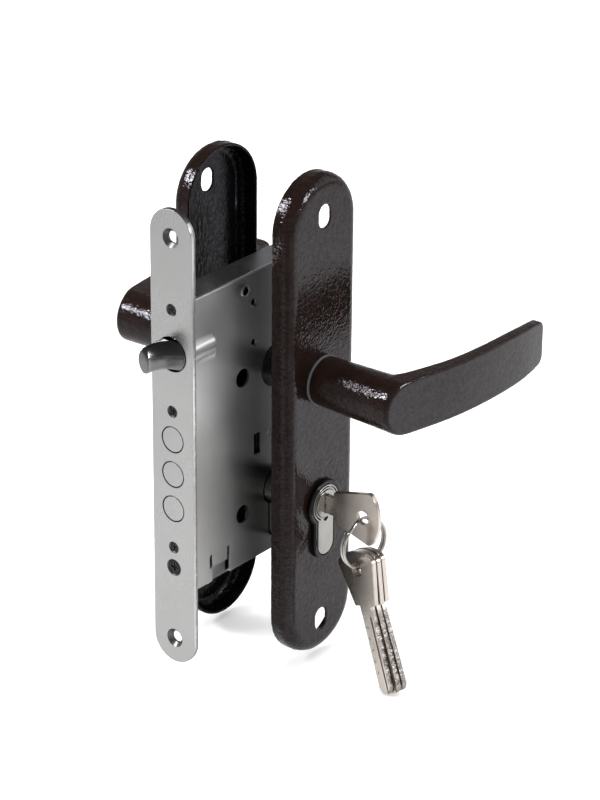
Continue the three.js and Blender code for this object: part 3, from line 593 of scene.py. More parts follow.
# ============================================================== forend and its screws
SMALL_Z, FIX_Z, BOLT_Z, CS_Z = [43.2, -3.2, -67.3], [75.3, -111.3], [-16.2, -32.5, -48.75], -76.9
f = prism("y", stadium(22.7, -122.8, 87.9, 0, 48), 0, 2.5)
ops = []
for z in FIX_Z:
    ops += [rod("y", 2.6, 2.6, -1, 4, 0, z), rod("y", 4.3 + 0.025, 2.5, -0.02, 1.7, 0, z)]
for z in SMALL_Z:
    ops += [rod("y", 1.7, 1.7, -1, 4, 0, z, 48), rod("y", 2.75, 1.65, -0.02, 1.55, 0, z, 48)]
for z in BOLT_Z:
    ops.append(rod("y", 6.1, 6.1, -1, 4, 0, z, 96))
ops += [rod("y", 7.95, 7.95, -1, 4, 0, 23.2, 96), rod("y", 2.7, 2.7, -1, 4, 0, CS_Z), rod("y", 3.9, 2.65, -0.02, 1.9, 0, CS_Z)]
f = cut(f, *ops)


def outer_rim(e):
    c = (e.verts[0].co + e.verts[1].co) / 2
    half = 11.35
    zc = max(min(c.z, 87.9 - half), -122.8 + half)
    return math.hypot(c.x, c.z - zc) > half - 0.25


piece("forend", f, MAT_NICKEL, ((0.30, 4, outer_rim), (0.06, 2, lambda e: not outer_rim(e))))

for w, z in zip(("upper", "middle", "lower"), SMALL_Z):
    s = lathe("y", [(0.55, 1.9), (0.66, 2.15), (1.5, 1.5), (8.2, 1.5), (8.5, 1.2)], 0, z, 48)
    s = cut(s, box(-1.6, 1.6, -1, 1.3, z - 0.36, z + 0.36), box(-0.36, 0.36, -1, 1.3, z - 1.6, z + 1.6))
    piece("forend_screw_" + w, s, MAT_SCREW, ((0.07, 2, None),))
s = lathe("y", [(0.45, 3.2), (0.62, 3.6), (2.0, 2.4), (2.05, 2.35), (63.0, 2.35), (63.5, 1.9)], 0, CS_Z, 48)
s = cut(s, box(-2.4, 2.4, -1, 1.5, CS_Z - 0.5, CS_Z + 0.5), box(-0.5, 0.5, -1, 1.5, CS_Z - 2.4, CS_Z + 2.4))
piece("cylinder_fixing_screw", s, MAT_SCREW, ((0.08, 2, None),))

# ============================================================== lock case: pressed sheet
LZ = 23.2


def bulge(y, z):
    dz = abs(z - LZ)
    h = math.sqrt(max(0.0, 81.0 - dz * dz)) - 7.1 if dz < 9 else -7.1
    k = 0.9
    b = max(h, 0.0) + max(k - abs(h), 0.0) ** 2 / (4 * k)
    t = min(1.0, max(0.0, (y - 17.4) / 2.3))
    return min(b, 1.9) * math.sqrt(max(0.0, 1 - t * t))


def sheet(side, x_in, x_out):
    """Flat sheet with the pressed latch bulge. side is +1 or -1 in X."""
    ys = [2.5 + 0.35 * i for i in range(55)] + [24.0, 88.0]
    ys = sorted(set(round(v, 4) for v in ys))
    zs = sorted(set([-88.0, 47.6, 12.0, 34.6] + [round(13 + 0.45 * i, 4) for i in range(46)]))
    ny, nz = len(ys), len(zs)
    v, fc = [], []
    for x in (x_in, x_out):
        for y in ys:
            for z in zs:
                v.append((side * (x + bulge(y, z)), y, z))
    at = lambda s, i, j: s * ny * nz + i * nz + j
    for s in (0, 1):
        for i in range(ny - 1):
            for j in range(nz - 1):
                fc.append((at(s, i, j), at(s, i + 1, j), at(s, i + 1, j + 1), at(s, i, j + 1)))
    for i in range(ny - 1):
        fc.append((at(0, i, 0), at(1, i, 0), at(1, i + 1, 0), at(0, i + 1, 0)))
        fc.append((at(0, i, nz - 1), at(0, i + 1, nz - 1), at(1, i + 1, nz - 1), at(1, i, nz - 1)))
    for j in range(nz - 1):
        fc.append((at(0, 0, j), at(0, 0, j + 1), at(1, 0, j + 1), at(1, 0, j)))
        fc.append((at(0, ny - 1, j), at(1, ny - 1, j), at(1, ny - 1, j + 1), at(0, ny - 1, j + 1)))
    return make(v, fc)


COVER_SCREWS = [(38.3, 41.3), (82.0, 41.3), (82.0, -81.5)]


def side_holes(x0, x1):
    return [rod("x", 10.2, 10.2, x0, x1, BACKSET, 0, 72), rod("x", 4.2, 4.2, x0, x1, 37.2, 1.2, 48), rod("x", 4.2, 4.2, x0, x1, 37.2, -63.6, 48), prism("x", euro(0.45), x0, x1)]


b = sheet(-1, 6.1, 7.1)
b = join(b, box(-6.5, 6.1, 2.5, 3.7, -88, 47.6), box(-6.5, 6.1, 2.5, 88, 46.6, 47.6), box(-6.5, 6.1, 2.5, 88, -88, -87), box(-6.5, 6.1, 87, 88, -88, 47.6),
         box(-6.6, -6.0, 72.6, 79.4, -24, -22.5), box(-6.6, 2.0, 72.6, 79.4, -24, -22.5), rod("z", 1.5, 1.5, -23, -17, 0, 76, 32), box(4.8, 5.9, 17.3, 26.5, -87.5, -77.5))
ops = side_holes(-20, 0)
ops.append(rod("y", 8.0, 8.0, 0, 5, 0, LZ, 96))
ops += [rod("y", 6.1, 6.1, 0, 5, 0, z, 96) for z in BOLT_Z] + [rod("y", 1.65, 1.65, 0, 5, 0, z, 32) for z in SMALL_Z] + [rod("y", 2.7, 2.7, 0, 5, 0, CS_Z, 48)]
b = cut(b, *ops)


def bend(e):
    c = (e.verts[0].co + e.verts[1].co) / 2
    on = abs(c.y - 88) < 0.01 or abs(c.z - 47.6) < 0.01 or abs(c.z + 88) < 0.01
    return on and abs(c.x + 7.1) < 0.01


def top_lip(e):
    a, c = e.verts[0].co, e.verts[1].co
    return min(a.z, c.z) > 47.55 and min(a.x, c.x) > 6.0


piece("case_body", b, MAT_ZINC, ((0.9, 5, bend), (0.45, 1, top_lip), (0.10, 2, lambda e: not bend(e) and not top_lip(e))))

c = sheet(1, 6.1, 7.1)
ops = side_holes(0, 20)
ops += [box(0, 20, 44.7, 48.9, -38, -28.2), rod("x", 1.3, 1.3, 0, 20, 44.6, 33.7, 32), rod("x", 1.3, 1.3, 0, 20, 44.7, 15.2, 32),
        rod("x", 1.2, 2.15, 6.35, 7.12, 44.6, 33.7, 48), rod("x", 1.2, 1.9, 6.45, 7.12, 44.7, 15.2, 48)]
ops += [box(0, 20, 15.3, 17, -81.5, -75.2), box(0, 20, 26.8, 28.5, -89, -75), box(0, 20, 16.9, 26.9, -89, -81.4)]
ops += [rod("x", 1.65, 1.65, 0, 20, y, z, 32) for y, z in COVER_SCREWS]
ops += [rod("x", 1.2, 1.2, 0, 20, 54, -30, 32), rod("x", 1.2, 1.2, 0, 20, 67, -18.5, 32)]
c = cut(c, *ops)
piece("case_cover", c, MAT_COVER, ((0.50, 1, lambda e: min(e.verts[0].co.z, e.verts[1].co.z) > 47.55 and max(e.verts[0].co.x, e.verts[1].co.x) > 7.0), (0.12, 2, lambda e: min(e.verts[0].co.z, e.verts[1].co.z) < 47.5)))

for w, (y, z) in zip(("front", "top", "bottom"), COVER_SCREWS):
    piece("case_post_" + w, cut(rod("x", 2.8, 2.8, -6.1, 6.1, y, z, 48), rod("x", 1.45, 1.45, -1, 10, y, z, 32)), MAT_STEEL, ((0.2, 2, None),))
    s = lathe("x", [(0.5, 1.2), (0.7, 1.35), (7.15, 1.35), (7.16, 2.6), (7.3, 2.7), (7.75, 2.62), (8.05, 2.3), (8.2, 1.7)], y, z, 48)
    s = cut(s, box(7.6, 10, y - 1.6, y + 1.6, z - 0.3, z + 0.3), box(7.6, 10, y - 0.3, y + 0.3, z - 1.6, z + 1.6))
    piece("cover_screw_" + w, s, MAT_STEEL, ((0.07, 2, None),))
for n, (y, z) in (("carriage_guide_post", (54, -30)), ("detent_post", (67, -18.5))):
    piece(n, lathe("x", [(-6.1, 1.5), (6.08, 1.5), (6.1, 1.1), (7.0, 1.1), (7.1, 0.95)], y, z, 40), MAT_STEEL, ((0.08, 2, None),))

# ============================================================== latch
def latch_field(x, y, z):
    """Round bolt with flats above and below and a hollow slope that faces +X."""
    z = z - LZ
    d = np.sqrt(x * x + z * z) - 7.72
    d = smax(d, -12.75 - y, 1.3)
    d = np.maximum(d, y - 10.0)
    head = np.where(y < 1.4, 1.0, 0.0)
    waisted = np.where(z > 0, 6.45, 4.7 + 1.1 * np.clip((y + 6.6) / 6.2, -1, 1) ** 2)
    d = smax(d, np.where(head > 0, np.abs(z) - waisted, d), 0.6)
    nx, ny = 0.765, -0.644
    t = x * 0.644 + y * 0.765 + 3.2
    hollow = 1.75 * np.clip(1 - (t / 7.6) ** 2, 0, 1)
    crown = 0.085 * np.maximum(z + 0.5, 0) ** 2 + 0.05 * np.maximum(-z - 2.0, 0) ** 2
    slope = (x + 2.6) * nx + (y + 12.6) * ny + hollow + crown - 0.25
    d = smax(d, np.where(head > 0, np.minimum(slope, 4.0), -4.0), 0.7)
    slot = np.maximum(np.maximum(np.abs(x) - 2.2, np.abs(z) - 2.3), 7.9 - y)
    waist = np.maximum(5.8 - np.abs(x), 5.2 - y)
    return np.maximum(np.maximum(d, -slot), np.where(y > 5.0, -waist, d))


lt = surface(latch_field, (-8.2, -13.4, LZ - 8.2), (8.2, 10.5, LZ + 8.2), (0.3, 0.3, 0.3))
lt = hammer(lt, lambda p, n: ripple(p, 1.6, 0.02) + ripple(p, 0.5, 0.03) if p[1] < -0.4 else 0.0)
piece("latch_bolt", lt, MAT_LATCH, None, clean=False, smooth_all=True)
piece("latch_tail", join(box(-2, 2, 8, 66.8, 20.9, 25.3), box(-2, 2, 63.8, 66.8, 12, 22)), MAT_STEEL, ((0.3, 3, None),))
o = piece("latch_spring", coil("y", 4.4, 0.5, 5, 10.4, 36.2, 0, 23.1), MAT_SPRING, None, smooth_all=True)
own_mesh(o)
piece("latch_spring_stop", cut(box(-6.1, 6.1, 36.5, 38.3, 15.8, 31.5), box(-2.4, 2.4, 36, 39, 20.4, 25.8)), MAT_STEEL, ((0.2, 2, None),))

# ============================================================== follower
s = join(rod("x", 9.9, 9.9, -7.3, 7.3, BACKSET, 0, 72), rod("x", 12, 12, -5.6, 5.6, BACKSET, 0, 72), box(-3.2, 3.2, 57, 63, 5, 20), box(-3.2, 3.2, 65, 79, -4, 0))
s = cut(s, box(-9, 9, 55.85, 64.15, -4.15, 4.15))
piece("follower", s, MAT_SCREW, ((0.3, 3, None),))
o = piece("follower_spring", coil("z", 2.4, 0.5, 5, -22.1, -4.3, 0, 76), MAT_SPRING, None, smooth_all=True)
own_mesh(o)

# ============================================================== deadbolts, carriage, detent
for w, z in zip(("upper", "middle", "lower"), BOLT_Z):
    s = lathe("y", [(0.1, 5.45), (0.16, 5.62), (0.6, 5.9), (39.6, 5.9), (40, 5.5)], 0, z, 96)
    s = cut(s, box(4.1, 8, 33.7, 45, z - 7, z + 7))
    piece("deadbolt_" + w, s, MAT_BOLT, ((0.12, 2, None),))
s = join(box(4.25, 5.8, 34, 49, -55.5, -10), box(4.25, 5.8, 48, 80.5, -34, -26))
s = cut(s, box(4, 6, 52.2, 77.9, -31.7, -28.3), box(4, 6, 46, 50, -46, -37), box(4, 6, 57, 60.5, -27.5, -25), box(4, 6, 68, 71.5, -27.5, -25))
piece("bolt_carriage", s, MAT_SCREW, ((0.2, 2, None),))
s = join(rod("x", 3.4, 3.4, 0.6, 3.2, 67, -18.5, 48), box(0.6, 3.2, 50, 67, -21.5, -18.7), box(0.6, 5.6, 57.4, 60, -25.3, -20))
s = cut(s, rod("x", 1.6, 1.6, -5, 8, 67, -18.5, 40))
piece("detent_lever", s, MAT_STEEL, ((0.2, 2, None),))
piece("detent_spring", coil("x", 2.5, 0.35, 3, -3.6, 0.3, 67, -18.5), MAT_SPRING, None, smooth_all=True)

# ============================================================== profile cylinder
PIN_X = [11, 15.5, 20, 24.5, 29]
s = prism("x", euro(0), -35, 35)
gap = cut(rod("x", 15.7, 15.7, -5, 5, BACKSET, CYL_Z, 96), box(-6, 6, 40, 80, -90, CYL_Z - 15.6))
ops = [rod("x", 6.52, 6.52, -40, 40, BACKSET, CYL_Z, 72), gap, rod("y", 2.5, 2.5, 40, 80, 0, CS_Z, 40)]
ops += [rod("z", 1.5, 1.5, CYL_Z - 21, CYL_Z, x, BACKSET, 24) for x in PIN_X]
for sx in (1, -1):
    ring = cut(rod("x", 7.9, 7.9, min(sx * 33.9, sx * 36), max(sx * 33.9, sx * 36), BACKSET, CYL_Z, 72), rod("x", 7.25, 7.25, -40, 40, BACKSET, CYL_Z, 72), box(-40, 40, BACKSET - 3.6, BACKSET + 3.6, CYL_Z - 12, CYL_Z - 4))
    ops += [ring, rod("x", 1.5, 1.5, min(sx * 33.4, sx * 36), max(sx * 33.4, sx * 36), BACKSET, CYL_Z - 7.0, 32)]
s = cut(s, *ops)
piece("cylinder_body", s, MAT_CYL, ((0.16, 3, None),))
for n, x0, x1 in (("plug_front", 5.2, 35.5), ("plug_rear", -35.5, -5.2)):
    p = rod("x", 6.4, 6.4, x0, x1, BACKSET, CYL_Z, 72)
    ops = [box(x0 - 1, x1 + 1, BACKSET - 1.35, BACKSET + 1.35, CYL_Z - 4.4, CYL_Z + 4.4)]
    if n == "plug_front":
        ops += [rod("x", 2.6, 1.5, 36.2, 34.9, BACKSET, CYL_Z, 40)]
        ops += [rod("z", 1.5, 1.5, CYL_Z - 8, CYL_Z - 4.2, x, BACKSET, 24) for x in PIN_X]
    piece(n, cut(p, *ops), MAT_CYL, ((0.24, 3, None),))
lobe = inter(box(-3.7, 3.7, -4, 4, 2, 15.2), rod("x", 15.2, 15.2, -5, 5, 0, 0, 96))
lobe = moved(lobe, Matrix.Translation((0, BACKSET, CYL_Z)) @ Matrix.Rotation(math.radians(-150), 4, "X"))
s = cut(join(rod("x", 6.4, 6.4, -4, 4, BACKSET, CYL_Z, 72), lobe), rod("x", 5, 5, -6, 6, BACKSET, CYL_Z, 48))
piece("cylinder_cam", s, MAT_STEEL, ((0.25, 2, None),))
piece("cam_clutch", lathe("x", [(-3.9, 4.2), (-3.6, 4.6), (-1.3, 4.6), (-1.0, 4.2)], BACKSET, CYL_Z, 48), MAT_BRASS, ((0.15, 2, None),))
for i, x in enumerate(PIN_X):
    piece("key_pin_%d" % (i + 1), lathe("z", [(CYL_Z - 6.1, 1.0), (CYL_Z - 5.9, 1.25), (CYL_Z - 5.1, 1.25), (CYL_Z - 4.6, 0.7)], x, BACKSET, 24), MAT_BRASS, ((0.06, 2, None),))
    lo = CYL_Z - 12 - (i % 3)
    piece("driver_pin_%d" % (i + 1), lathe("z", [(lo, 1.0), (lo + 0.3, 1.25), (CYL_Z - 7.2, 1.25), (CYL_Z - 6.9, 1.0)], x, BACKSET, 24), MAT_STEEL, ((0.06, 2, None),))

# ============================================================== backplates
def euro_d(y, z, o):
    circle = np.sqrt((y - BACKSET) ** 2 + (z - CYL_Z) ** 2) - (8.5 + o)
    zc = np.clip(z, CYL_Z - 19.5, CYL_Z)
    tab = np.sqrt((y - BACKSET) ** 2 + (z - zc) ** 2) - (5.0 + o)
    return np.minimum(circle, tab)


def plate_field(x, y, z):
    zc, half = -19.35, 89.25
    d2 = np.sqrt((y - BACKSET) ** 2 + np.maximum(np.abs(z - zc) - half, 0) ** 2) - 22.8

    def tray(off, r):
        a, b = d2 + off + r, x - (32.8 - off) + r
        return np.sqrt(np.maximum(a, 0) ** 2 + np.maximum(b, 0) ** 2) + np.minimum(np.maximum(a, b), 0) - r

    d = smax(smax(tray(0.06, 5.4), -tray(1.2, 4.2), 0.5), 22.8 - x, 0.5)
    for zz in (74.85, -115.6):
        q = np.sqrt((y - BACKSET) ** 2 + np.maximum(np.abs(z - zz) - 1.5, 0) ** 2) - 3.7
        d = smax(d, -q, 0.6)
    d = smax(d, 10.2 - np.sqrt((y - BACKSET) ** 2 + z ** 2), 0.5)
    return smax(d, -euro_d(y, z, 0.9), 0.5)


def plate_hammer(p, n):
    """Orange peel all over, deeper across the rounded edge, upright wrinkles inside the tray and puckered patches near the neck and the cylinder."""
    x, y, z = p
    flat = abs(n[0])
    h = ripple(p, 0.40, 0.020) + ripple((x + 9, y, z), 0.95, 0.020) + crease((x, y * 0.6 + 31, z * 1.3), 0.8, 0.012)
    edge = 1.0 - min(1.0, max(0.0, (flat - 0.2) / 0.75))
    if x > 26.5 and edge > 0:
        h += edge * (ripple((x * 0.3, y * 0.4, z * 0.95), 1.0, 0.20) + crease((x * 0.25, y * 0.3, z * 0.7), 0.9, 0.09))
    if x < 31.9 and n[0] < -0.5:
        left = min(1.0, max(0.0, (66 - y) / 12.0))
        h += left * (ripple((x, y * 1.5, z * 0.42), 0.9, 0.13) + crease((x, y * 1.25, z * 0.33), 0.8, 0.08))
    if n[0] > 0.7:
        patch = max(0.0, 1 - abs(z - 22) / 27.0)
        h += patch * (crease((x, y * 0.6 + z * 0.25, z * 1.1), 0.95, 0.022) + ripple((x, y * 0.7, z), 0.95, 0.034))
        dy, dz = y - BACKSET, z - (CYL_Z - 8)
        r = math.hypot(dy, dz * 0.62)
        if r < 19:
            near = max(0.0, 1 - abs(r - 13) / 6.0)
            a = math.atan2(dz, dy)
            h += near * noise.noise(Vector((math.cos(a) * 5.5, math.sin(a) * 5.5, r * 0.16))) * 0.16
    return h


def mark(me, name, fn):
    """Point attribute name = fn(position, normal) for every vertex."""
    at = me.attributes.new(name, "FLOAT", "POINT")
    n = len(me.vertices)
    co, no = np.zeros(n * 3, np.float32), np.zeros(n * 3, np.float32)
    me.vertices.foreach_get("co", co)
    me.vertices.foreach_get("normal", no)
    at.data.foreach_set("value", fn(co.reshape(-1, 3), no.reshape(-1, 3)).astype(np.float32))
    return me


def plate_coarse(co, no):
    ax = np.abs(no[:, 0])
    face = np.clip((ax - 0.80) / 0.18, 0, 1)
    near = np.clip(1 - np.abs(co[:, 2] - 20) / 30.0, 0, 1)
    cyl = np.clip(1 - np.abs(np.hypot(co[:, 1] - BACKSET, (co[:, 2] - CYL_Z + 8) * 0.62) - 13) / 7.0, 0, 1)
    return np.clip(0.72 - face * (0.72 - 0.24 - 0.48 * np.maximum(near, 0.7 * cyl)), 0, 1)


def mark_inner(me):
    """Attribute 1 on the faces inside the tray."""
    at = me.attributes.new("inner", "FLOAT", "POINT")
    n = len(me.vertices)
    co, no = np.zeros(n * 3, np.float32), np.zeros(n * 3, np.float32)
    me.vertices.foreach_get("co", co)
    me.vertices.foreach_get("normal", no)
    co, no = co.reshape(-1, 3), no.reshape(-1, 3)
    zc = np.clip(co[:, 2], -19.35 - 89.25, -19.35 + 89.25)
    ry, rz = co[:, 1] - BACKSET, co[:, 2] - zc
    r = np.hypot(ry, rz) + 1e-6
    inward = (no[:, 1] * ry + no[:, 2] * rz) / r
    v = ((np.abs(co[:, 0]) < 31.95) & ((no[:, 0] * np.sign(co[:, 0]) < -0.4) | ((inward < -0.3) & (r > 18)))).astype(np.float32)
    at.data.foreach_set("value", v)
    return me


st = 0.5
pl = surface(plate_field, (22.0, 36.4, -132.2), (33.6, 83.6, 93.5), (0.5, st, st))
pl = mark(mark_inner(hammer(pl, plate_hammer)), "coarse", plate_coarse)
piece("front_plate", pl, MAT_ENAMEL, None, clean=False, smooth_all=True)
piece("back_plate", flipped(pl), MAT_ENAMEL, None, clean=False, smooth_all=True)

for side, fl in (("front", False), ("back", True)):
    g = (lambda q: flipped(q)) if fl else (lambda q: q)
    s = cut(lathe("x", [(30.4, 9.9), (30.6, 10.1), (32.8, 10.1), (32.81, 11.25), (33.2, 11.25), (33.4, 11.1)], BACKSET, 0, 96), rod("x", 8.2, 8.2, 20, 40, BACKSET, 0, 72))
    piece(side + "_bush", g(s), MAT_GREY, ((0.1, 2, None),))
    s = cut(join(prism("x", euro(2.2, 40), 32.8, 34.9), prism("x", euro(0.75, 40), 31.2, 33.3)), prism("x", euro(0.15, 40), 20, 40))
    piece(side + "_cylinder_surround", g(s), MAT_BLACK,
          ((0.62, 5, lambda e, q=(-1 if fl else 1): abs(q * e.verts[0].co.x - 34.9) < 0.01 and abs(q * e.verts[1].co.x - 34.9) < 0.01), (0.08, 2, lambda e, q=(-1 if fl else 1): q * e.verts[0].co.x < 34.0)))

# ============================================================== levers
OUT = spline([(40, 74.3), (47, 75.5), (55, 76.8), (61, 77.9), (67, 78.9), (73, 80), (79, 81.1), (85, 82.1), (92, 82.95), (100, 83.5), (108, 83.78), (116, 83.82), (124, 83.6), (132, 83.15), (140, 82.4), (147, 81.4), (154.2, 80.2), (160, 79)], 4)
INN = spline([(40, 61.0), (60, 66.8), (70, 70.2), (76, 72.0), (81, 73.3), (88, 74.95), (96, 76.1), (106, 76.9), (118, 77.2), (130, 76.9), (140, 76.3), (147, 75.6), (154.6, 74.7), (160, 74)], 4)
HGT = spline([(40, 12), (49, 12), (60, 12.1), (66, 12.35), (73, 12.45), (84, 12.45), (96, 12.4), (112, 12.35), (124, 12.2), (133, 11.9), (141, 11.4), (149, 10.75), (152.7, 10.2), (160, 9.2)], 4)
OUT, INN, HGT = (np.array(q) for q in (OUT, INN, HGT))


def lever_body(x, y, z):
    xo, xi, h = (np.interp(y, q[:, 0], q[:, 1]) for q in (OUT, INN, HGT))
    az = np.abs(z)
    rn = 10.9 + np.clip((x - 34.35) * 0.0288, 0, 1.5)
    neck = np.sqrt((y - BACKSET) ** 2 + z ** 2) - rn
    d_in = (xi - x) * 0.97
    grip = smax(smax(d_in, az - h, 2.6), 57.0 - y, 2.0)
    k = 12.5 * np.clip((y - 60) / 7, 0, 1) * np.clip(1.15 - (az / 11.9) ** 2, 0, 1) + 0.6
    body = smin(neck, grip, k)
    body = smax(body, az - np.maximum(h, rn), 0.6)
    # end of the grip, rounded in elevation
    end = np.sqrt(np.maximum(y - 150.2, 0) ** 2 + np.maximum(az - (h - 4), 0) ** 2) - 4.0
    body = smax(body, np.where((y > 147) & (az > h - 4), end, y - 154.15), 0.8)
    return smax(body, (x - xo) * 0.985, 1.0 + 1.6 * np.clip((62 - y) / 9, 0, 1))


def lever_field(droop):
    c, q = math.cos(math.radians(droop)), math.sin(math.radians(droop))

    def f(x, y, z):
        yy, zz = y - BACKSET, z
        body = lever_body(x, BACKSET + yy * c - zz * q, zz * c + yy * q)
        d = smax(body, 33.75 - x, 0.35)
        tail = smax(np.sqrt(yy ** 2 + z ** 2) - 8.0, 28.2 - x, 0.4)
        d = np.minimum(d, np.maximum(tail, x - 36))
        socket = np.maximum(np.maximum(np.abs(yy), np.abs(z)) - 4.15, x - 60)
        grub = np.maximum(np.sqrt(yy ** 2 + (x - 42.5) ** 2) - 2.6, z + 2)
        return np.maximum(np.maximum(d, -socket), -grub)

    return f


def lever_coarse(co, no):
    """Smooth on the outer face, rough on the neck and the upper edge."""
    face = np.clip((no[:, 0] - 0.55) / 0.3, 0, 1) * np.clip((co[:, 0] - 70) / 4, 0, 1)
    return np.clip(1 - 0.94 * face, 0, 1)


def lever_hammer(p, n):
    x, y, z = p
    return ripple(p, 0.5, 0.014) + ripple((x + 5, y, z), 1.15, 0.014) + ripple((x, y + 3, z), 2.1, 0.007)


st = 0.42
for side, droop in (("front", 0.4), ("back", 2.6)):
    lv = surface(lever_field(droop), (27.6, 46.6, -17.2), (85.2, 155.4, 13.5), (st, st, st))
    lv = mark(hammer(lv, lever_hammer), "coarse", lever_coarse)
    piece(side + "_lever", flipped(lv) if side == "back" else lv, MAT_ENAMEL_LEVER, None, clean=False, smooth_all=True)
s = cut(lathe("z", [(-10.2, 2.2), (-10.0, 2.45), (-4.9, 2.45), (-4.4, 1.9)], 42.5, BACKSET, 40), rod("z", 1.25, 1.25, -11, -7.5, 42.5, BACKSET, 6))
r = cut(rod("x", 10.6, 10.6, 28.6, 29.8, BACKSET, 0, 72), rod("x", 8.1, 8.1, 20, 40, BACKSET, 0, 72), box(20, 40, 44, 52, -1.2, 1.2))
for side, g in (("front", lambda q: q), ("back", flipped)):
    piece(side + "_grub_screw", g(s), MAT_SCREW, ((0.1, 2, None),))
    piece(side + "_retaining_ring", g(r), MAT_SPRING, ((0.15, 2, None),))
piece("spindle", box(-58, 58, 56, 64, -4, 4), MAT_STEEL, ((0.5, 3, None),))

# ============================================================== keys
TAPER = [(0, 6.9), (-0.4, 7.2)]
CROWN = [(-17.2, 12.0), (-18.5, 12.35), (-19.7, 12.25), (-20.7, 11.65), (-21.7, 10.4), (-22.7, 8.6), (-23.6, 6.1), (-24.25, 3.1), (-24.45, 0)]


def key_mesh(seed, half=4.2):
    """Flat key in (u, w), u along the blade from the shoulder; milled edges with uneven cuts."""
    rnd = random.Random(seed)
    up = TAPER + spline(CROWN, 4)
    pts = up + [(u, -w) for u, w in reversed(up[:-1])]
    runs = []
    for start in (4.2, 4.6):
        run, u = [(0, half), (3.5, half)], start
        while u < 36.2:
            d = rnd.uniform(0.06, 0.30)
            run += [(u, half - d * 0.2), (u + 0.28, half - d), (u + 0.55, half - d), (u + 0.80, half - d * 0.15)]
            u += 1.0
        runs.append(run + [(37.3, half - 0.1), (39.2, half - 1.6), (40, half - 3.0)])
    edge, low = runs
    pts = pts + [(a, -b) for a, b in low] + [(a, b) for a, b in reversed(edge)]
    k = prism("z", pts, -1.15, 1.15)
    k = cut(k, rod("z", 3.1, 3.1, -5, 5, -15.8, 0, 64), box(5, 42, -0.6, 0.6, 0.6, 5), box(5, 42, -2.6, -1.6, -5, -0.6), box(5, 42, 1.9, 2.7, 0.65, 5))
    dim = [rod("z", 0.35, 1.0, 0.75, 1.3, 8 + 5.2 * i, -2.4 + 0.5 * (i % 2), 20) for i in range(5)]
    dim += [rod("z", 1.0, 0.35, -1.3, -0.75, 9.5 + 5.2 * i, 1.6 + 0.5 * (i % 2), 20) for i in range(5)]
    return cut(k, *dim)


def key_piece(name, seed, m, half=4.2):
    me = key_mesh(seed, half)
    side = lambda e: all(v.co.x < -0.05 for v in e.verts)
    bm = bmesh.new()
    bm.from_mesh(me)
    bmesh.ops.remove_doubles(bm, verts=bm.verts, dist=0.004)
    bmesh.ops.dissolve_limit(bm, angle_limit=math.radians(0.25), verts=bm.verts, edges=bm.edges)
    for width, segs, pick in ((0.28, 3, side), (0.07, 2, lambda e: not side(e))):
        edges = [e for e in bm.edges if len(e.link_faces) == 2 and e.calc_face_angle(0.0) > math.radians(28) and pick(e) and abs(abs(e.verts[0].co.z) - 1.15) < 0.01 and abs(abs(e.verts[1].co.z) - 1.15) < 0.01]
        bmesh.ops.bevel(bm, geom=edges, offset=width, offset_type="OFFSET", segments=segs, profile=0.5, affect="EDGES", clamp_overlap=False, material=-1)
    bmesh.ops.triangulate(bm, faces=[q for q in bm.faces if len(q.verts) > 4], quad_method="BEAUTY", ngon_method="BEAUTY")
    lay = bm.verts.layers.float.new("blade")
    for v in bm.verts:
        v[lay] = 1.0 if v.co.x > 2.5 and abs(v.co.z) < 1.25 else 0.0
    bm.to_mesh(me)
    bm.free()
    me.transform(m)
    return piece(name, me, MAT_KEY, None, clean=False)


key_piece("key_in_lock", 11, Matrix(((-1, 0, 0, 40.0), (0, 0, 1, BACKSET), (0, 1, 0, CYL_Z), (0, 0, 0, 1))))

R, WIRE, YAW = 11.4, 0.72, math.radians(13)
cx, cz = 55.8, CYL_Z - 0.9 - R
pts, N, turns = [], 150, 1.84
for i in range(N + 1):
    sN = turns * i / N
    a = math.pi * 0.78 + 2 * math.pi * sN
    t = min(1.0, max(0.0, (sN - (turns - 1)) / (2 - turns)))
    pts.append((1.64 * (t * t * (3 - 2 * t) - 0.5), R * math.cos(a), R * math.sin(a)))
rg = moved(tube(pts, WIRE, 16), Matrix.Translation((cx, BACKSET, cz)) @ Matrix.Rotation(-YAW, 4, "Z"))
piece("key_ring", rg, MAT_CHROME, None, smooth_all=True)

LEAN = [math.radians(q) for q in (22.6, 24.6, 25.4)]
tv = Vector((math.sin(YAW), math.cos(YAW), 0))
wd = Vector((math.cos(YAW), -math.sin(YAW), 0))
for i, k in enumerate((-1, 0, 1)):
    along = wd * math.sin(LEAN[i]) + Vector((0, 0, -math.cos(LEAN[i])))
    across = tv.cross(along)
    hole = Vector((cx, BACKSET, cz - R)) + tv * 2.75 * k + along * (1.25 - 0.35 * abs(k))
    o3 = hole + along * 15.8
    m = Matrix(((along.x, across.x, tv.x, o3.x), (along.y, across.y, tv.y, o3.y), (along.z, across.z, tv.z, o3.z), (0, 0, 0, 1)))
    key_piece("spare_key_%d" % (i + 1), 20 + i, m, 3.75)

bpy.data.scenes.remove(shop)

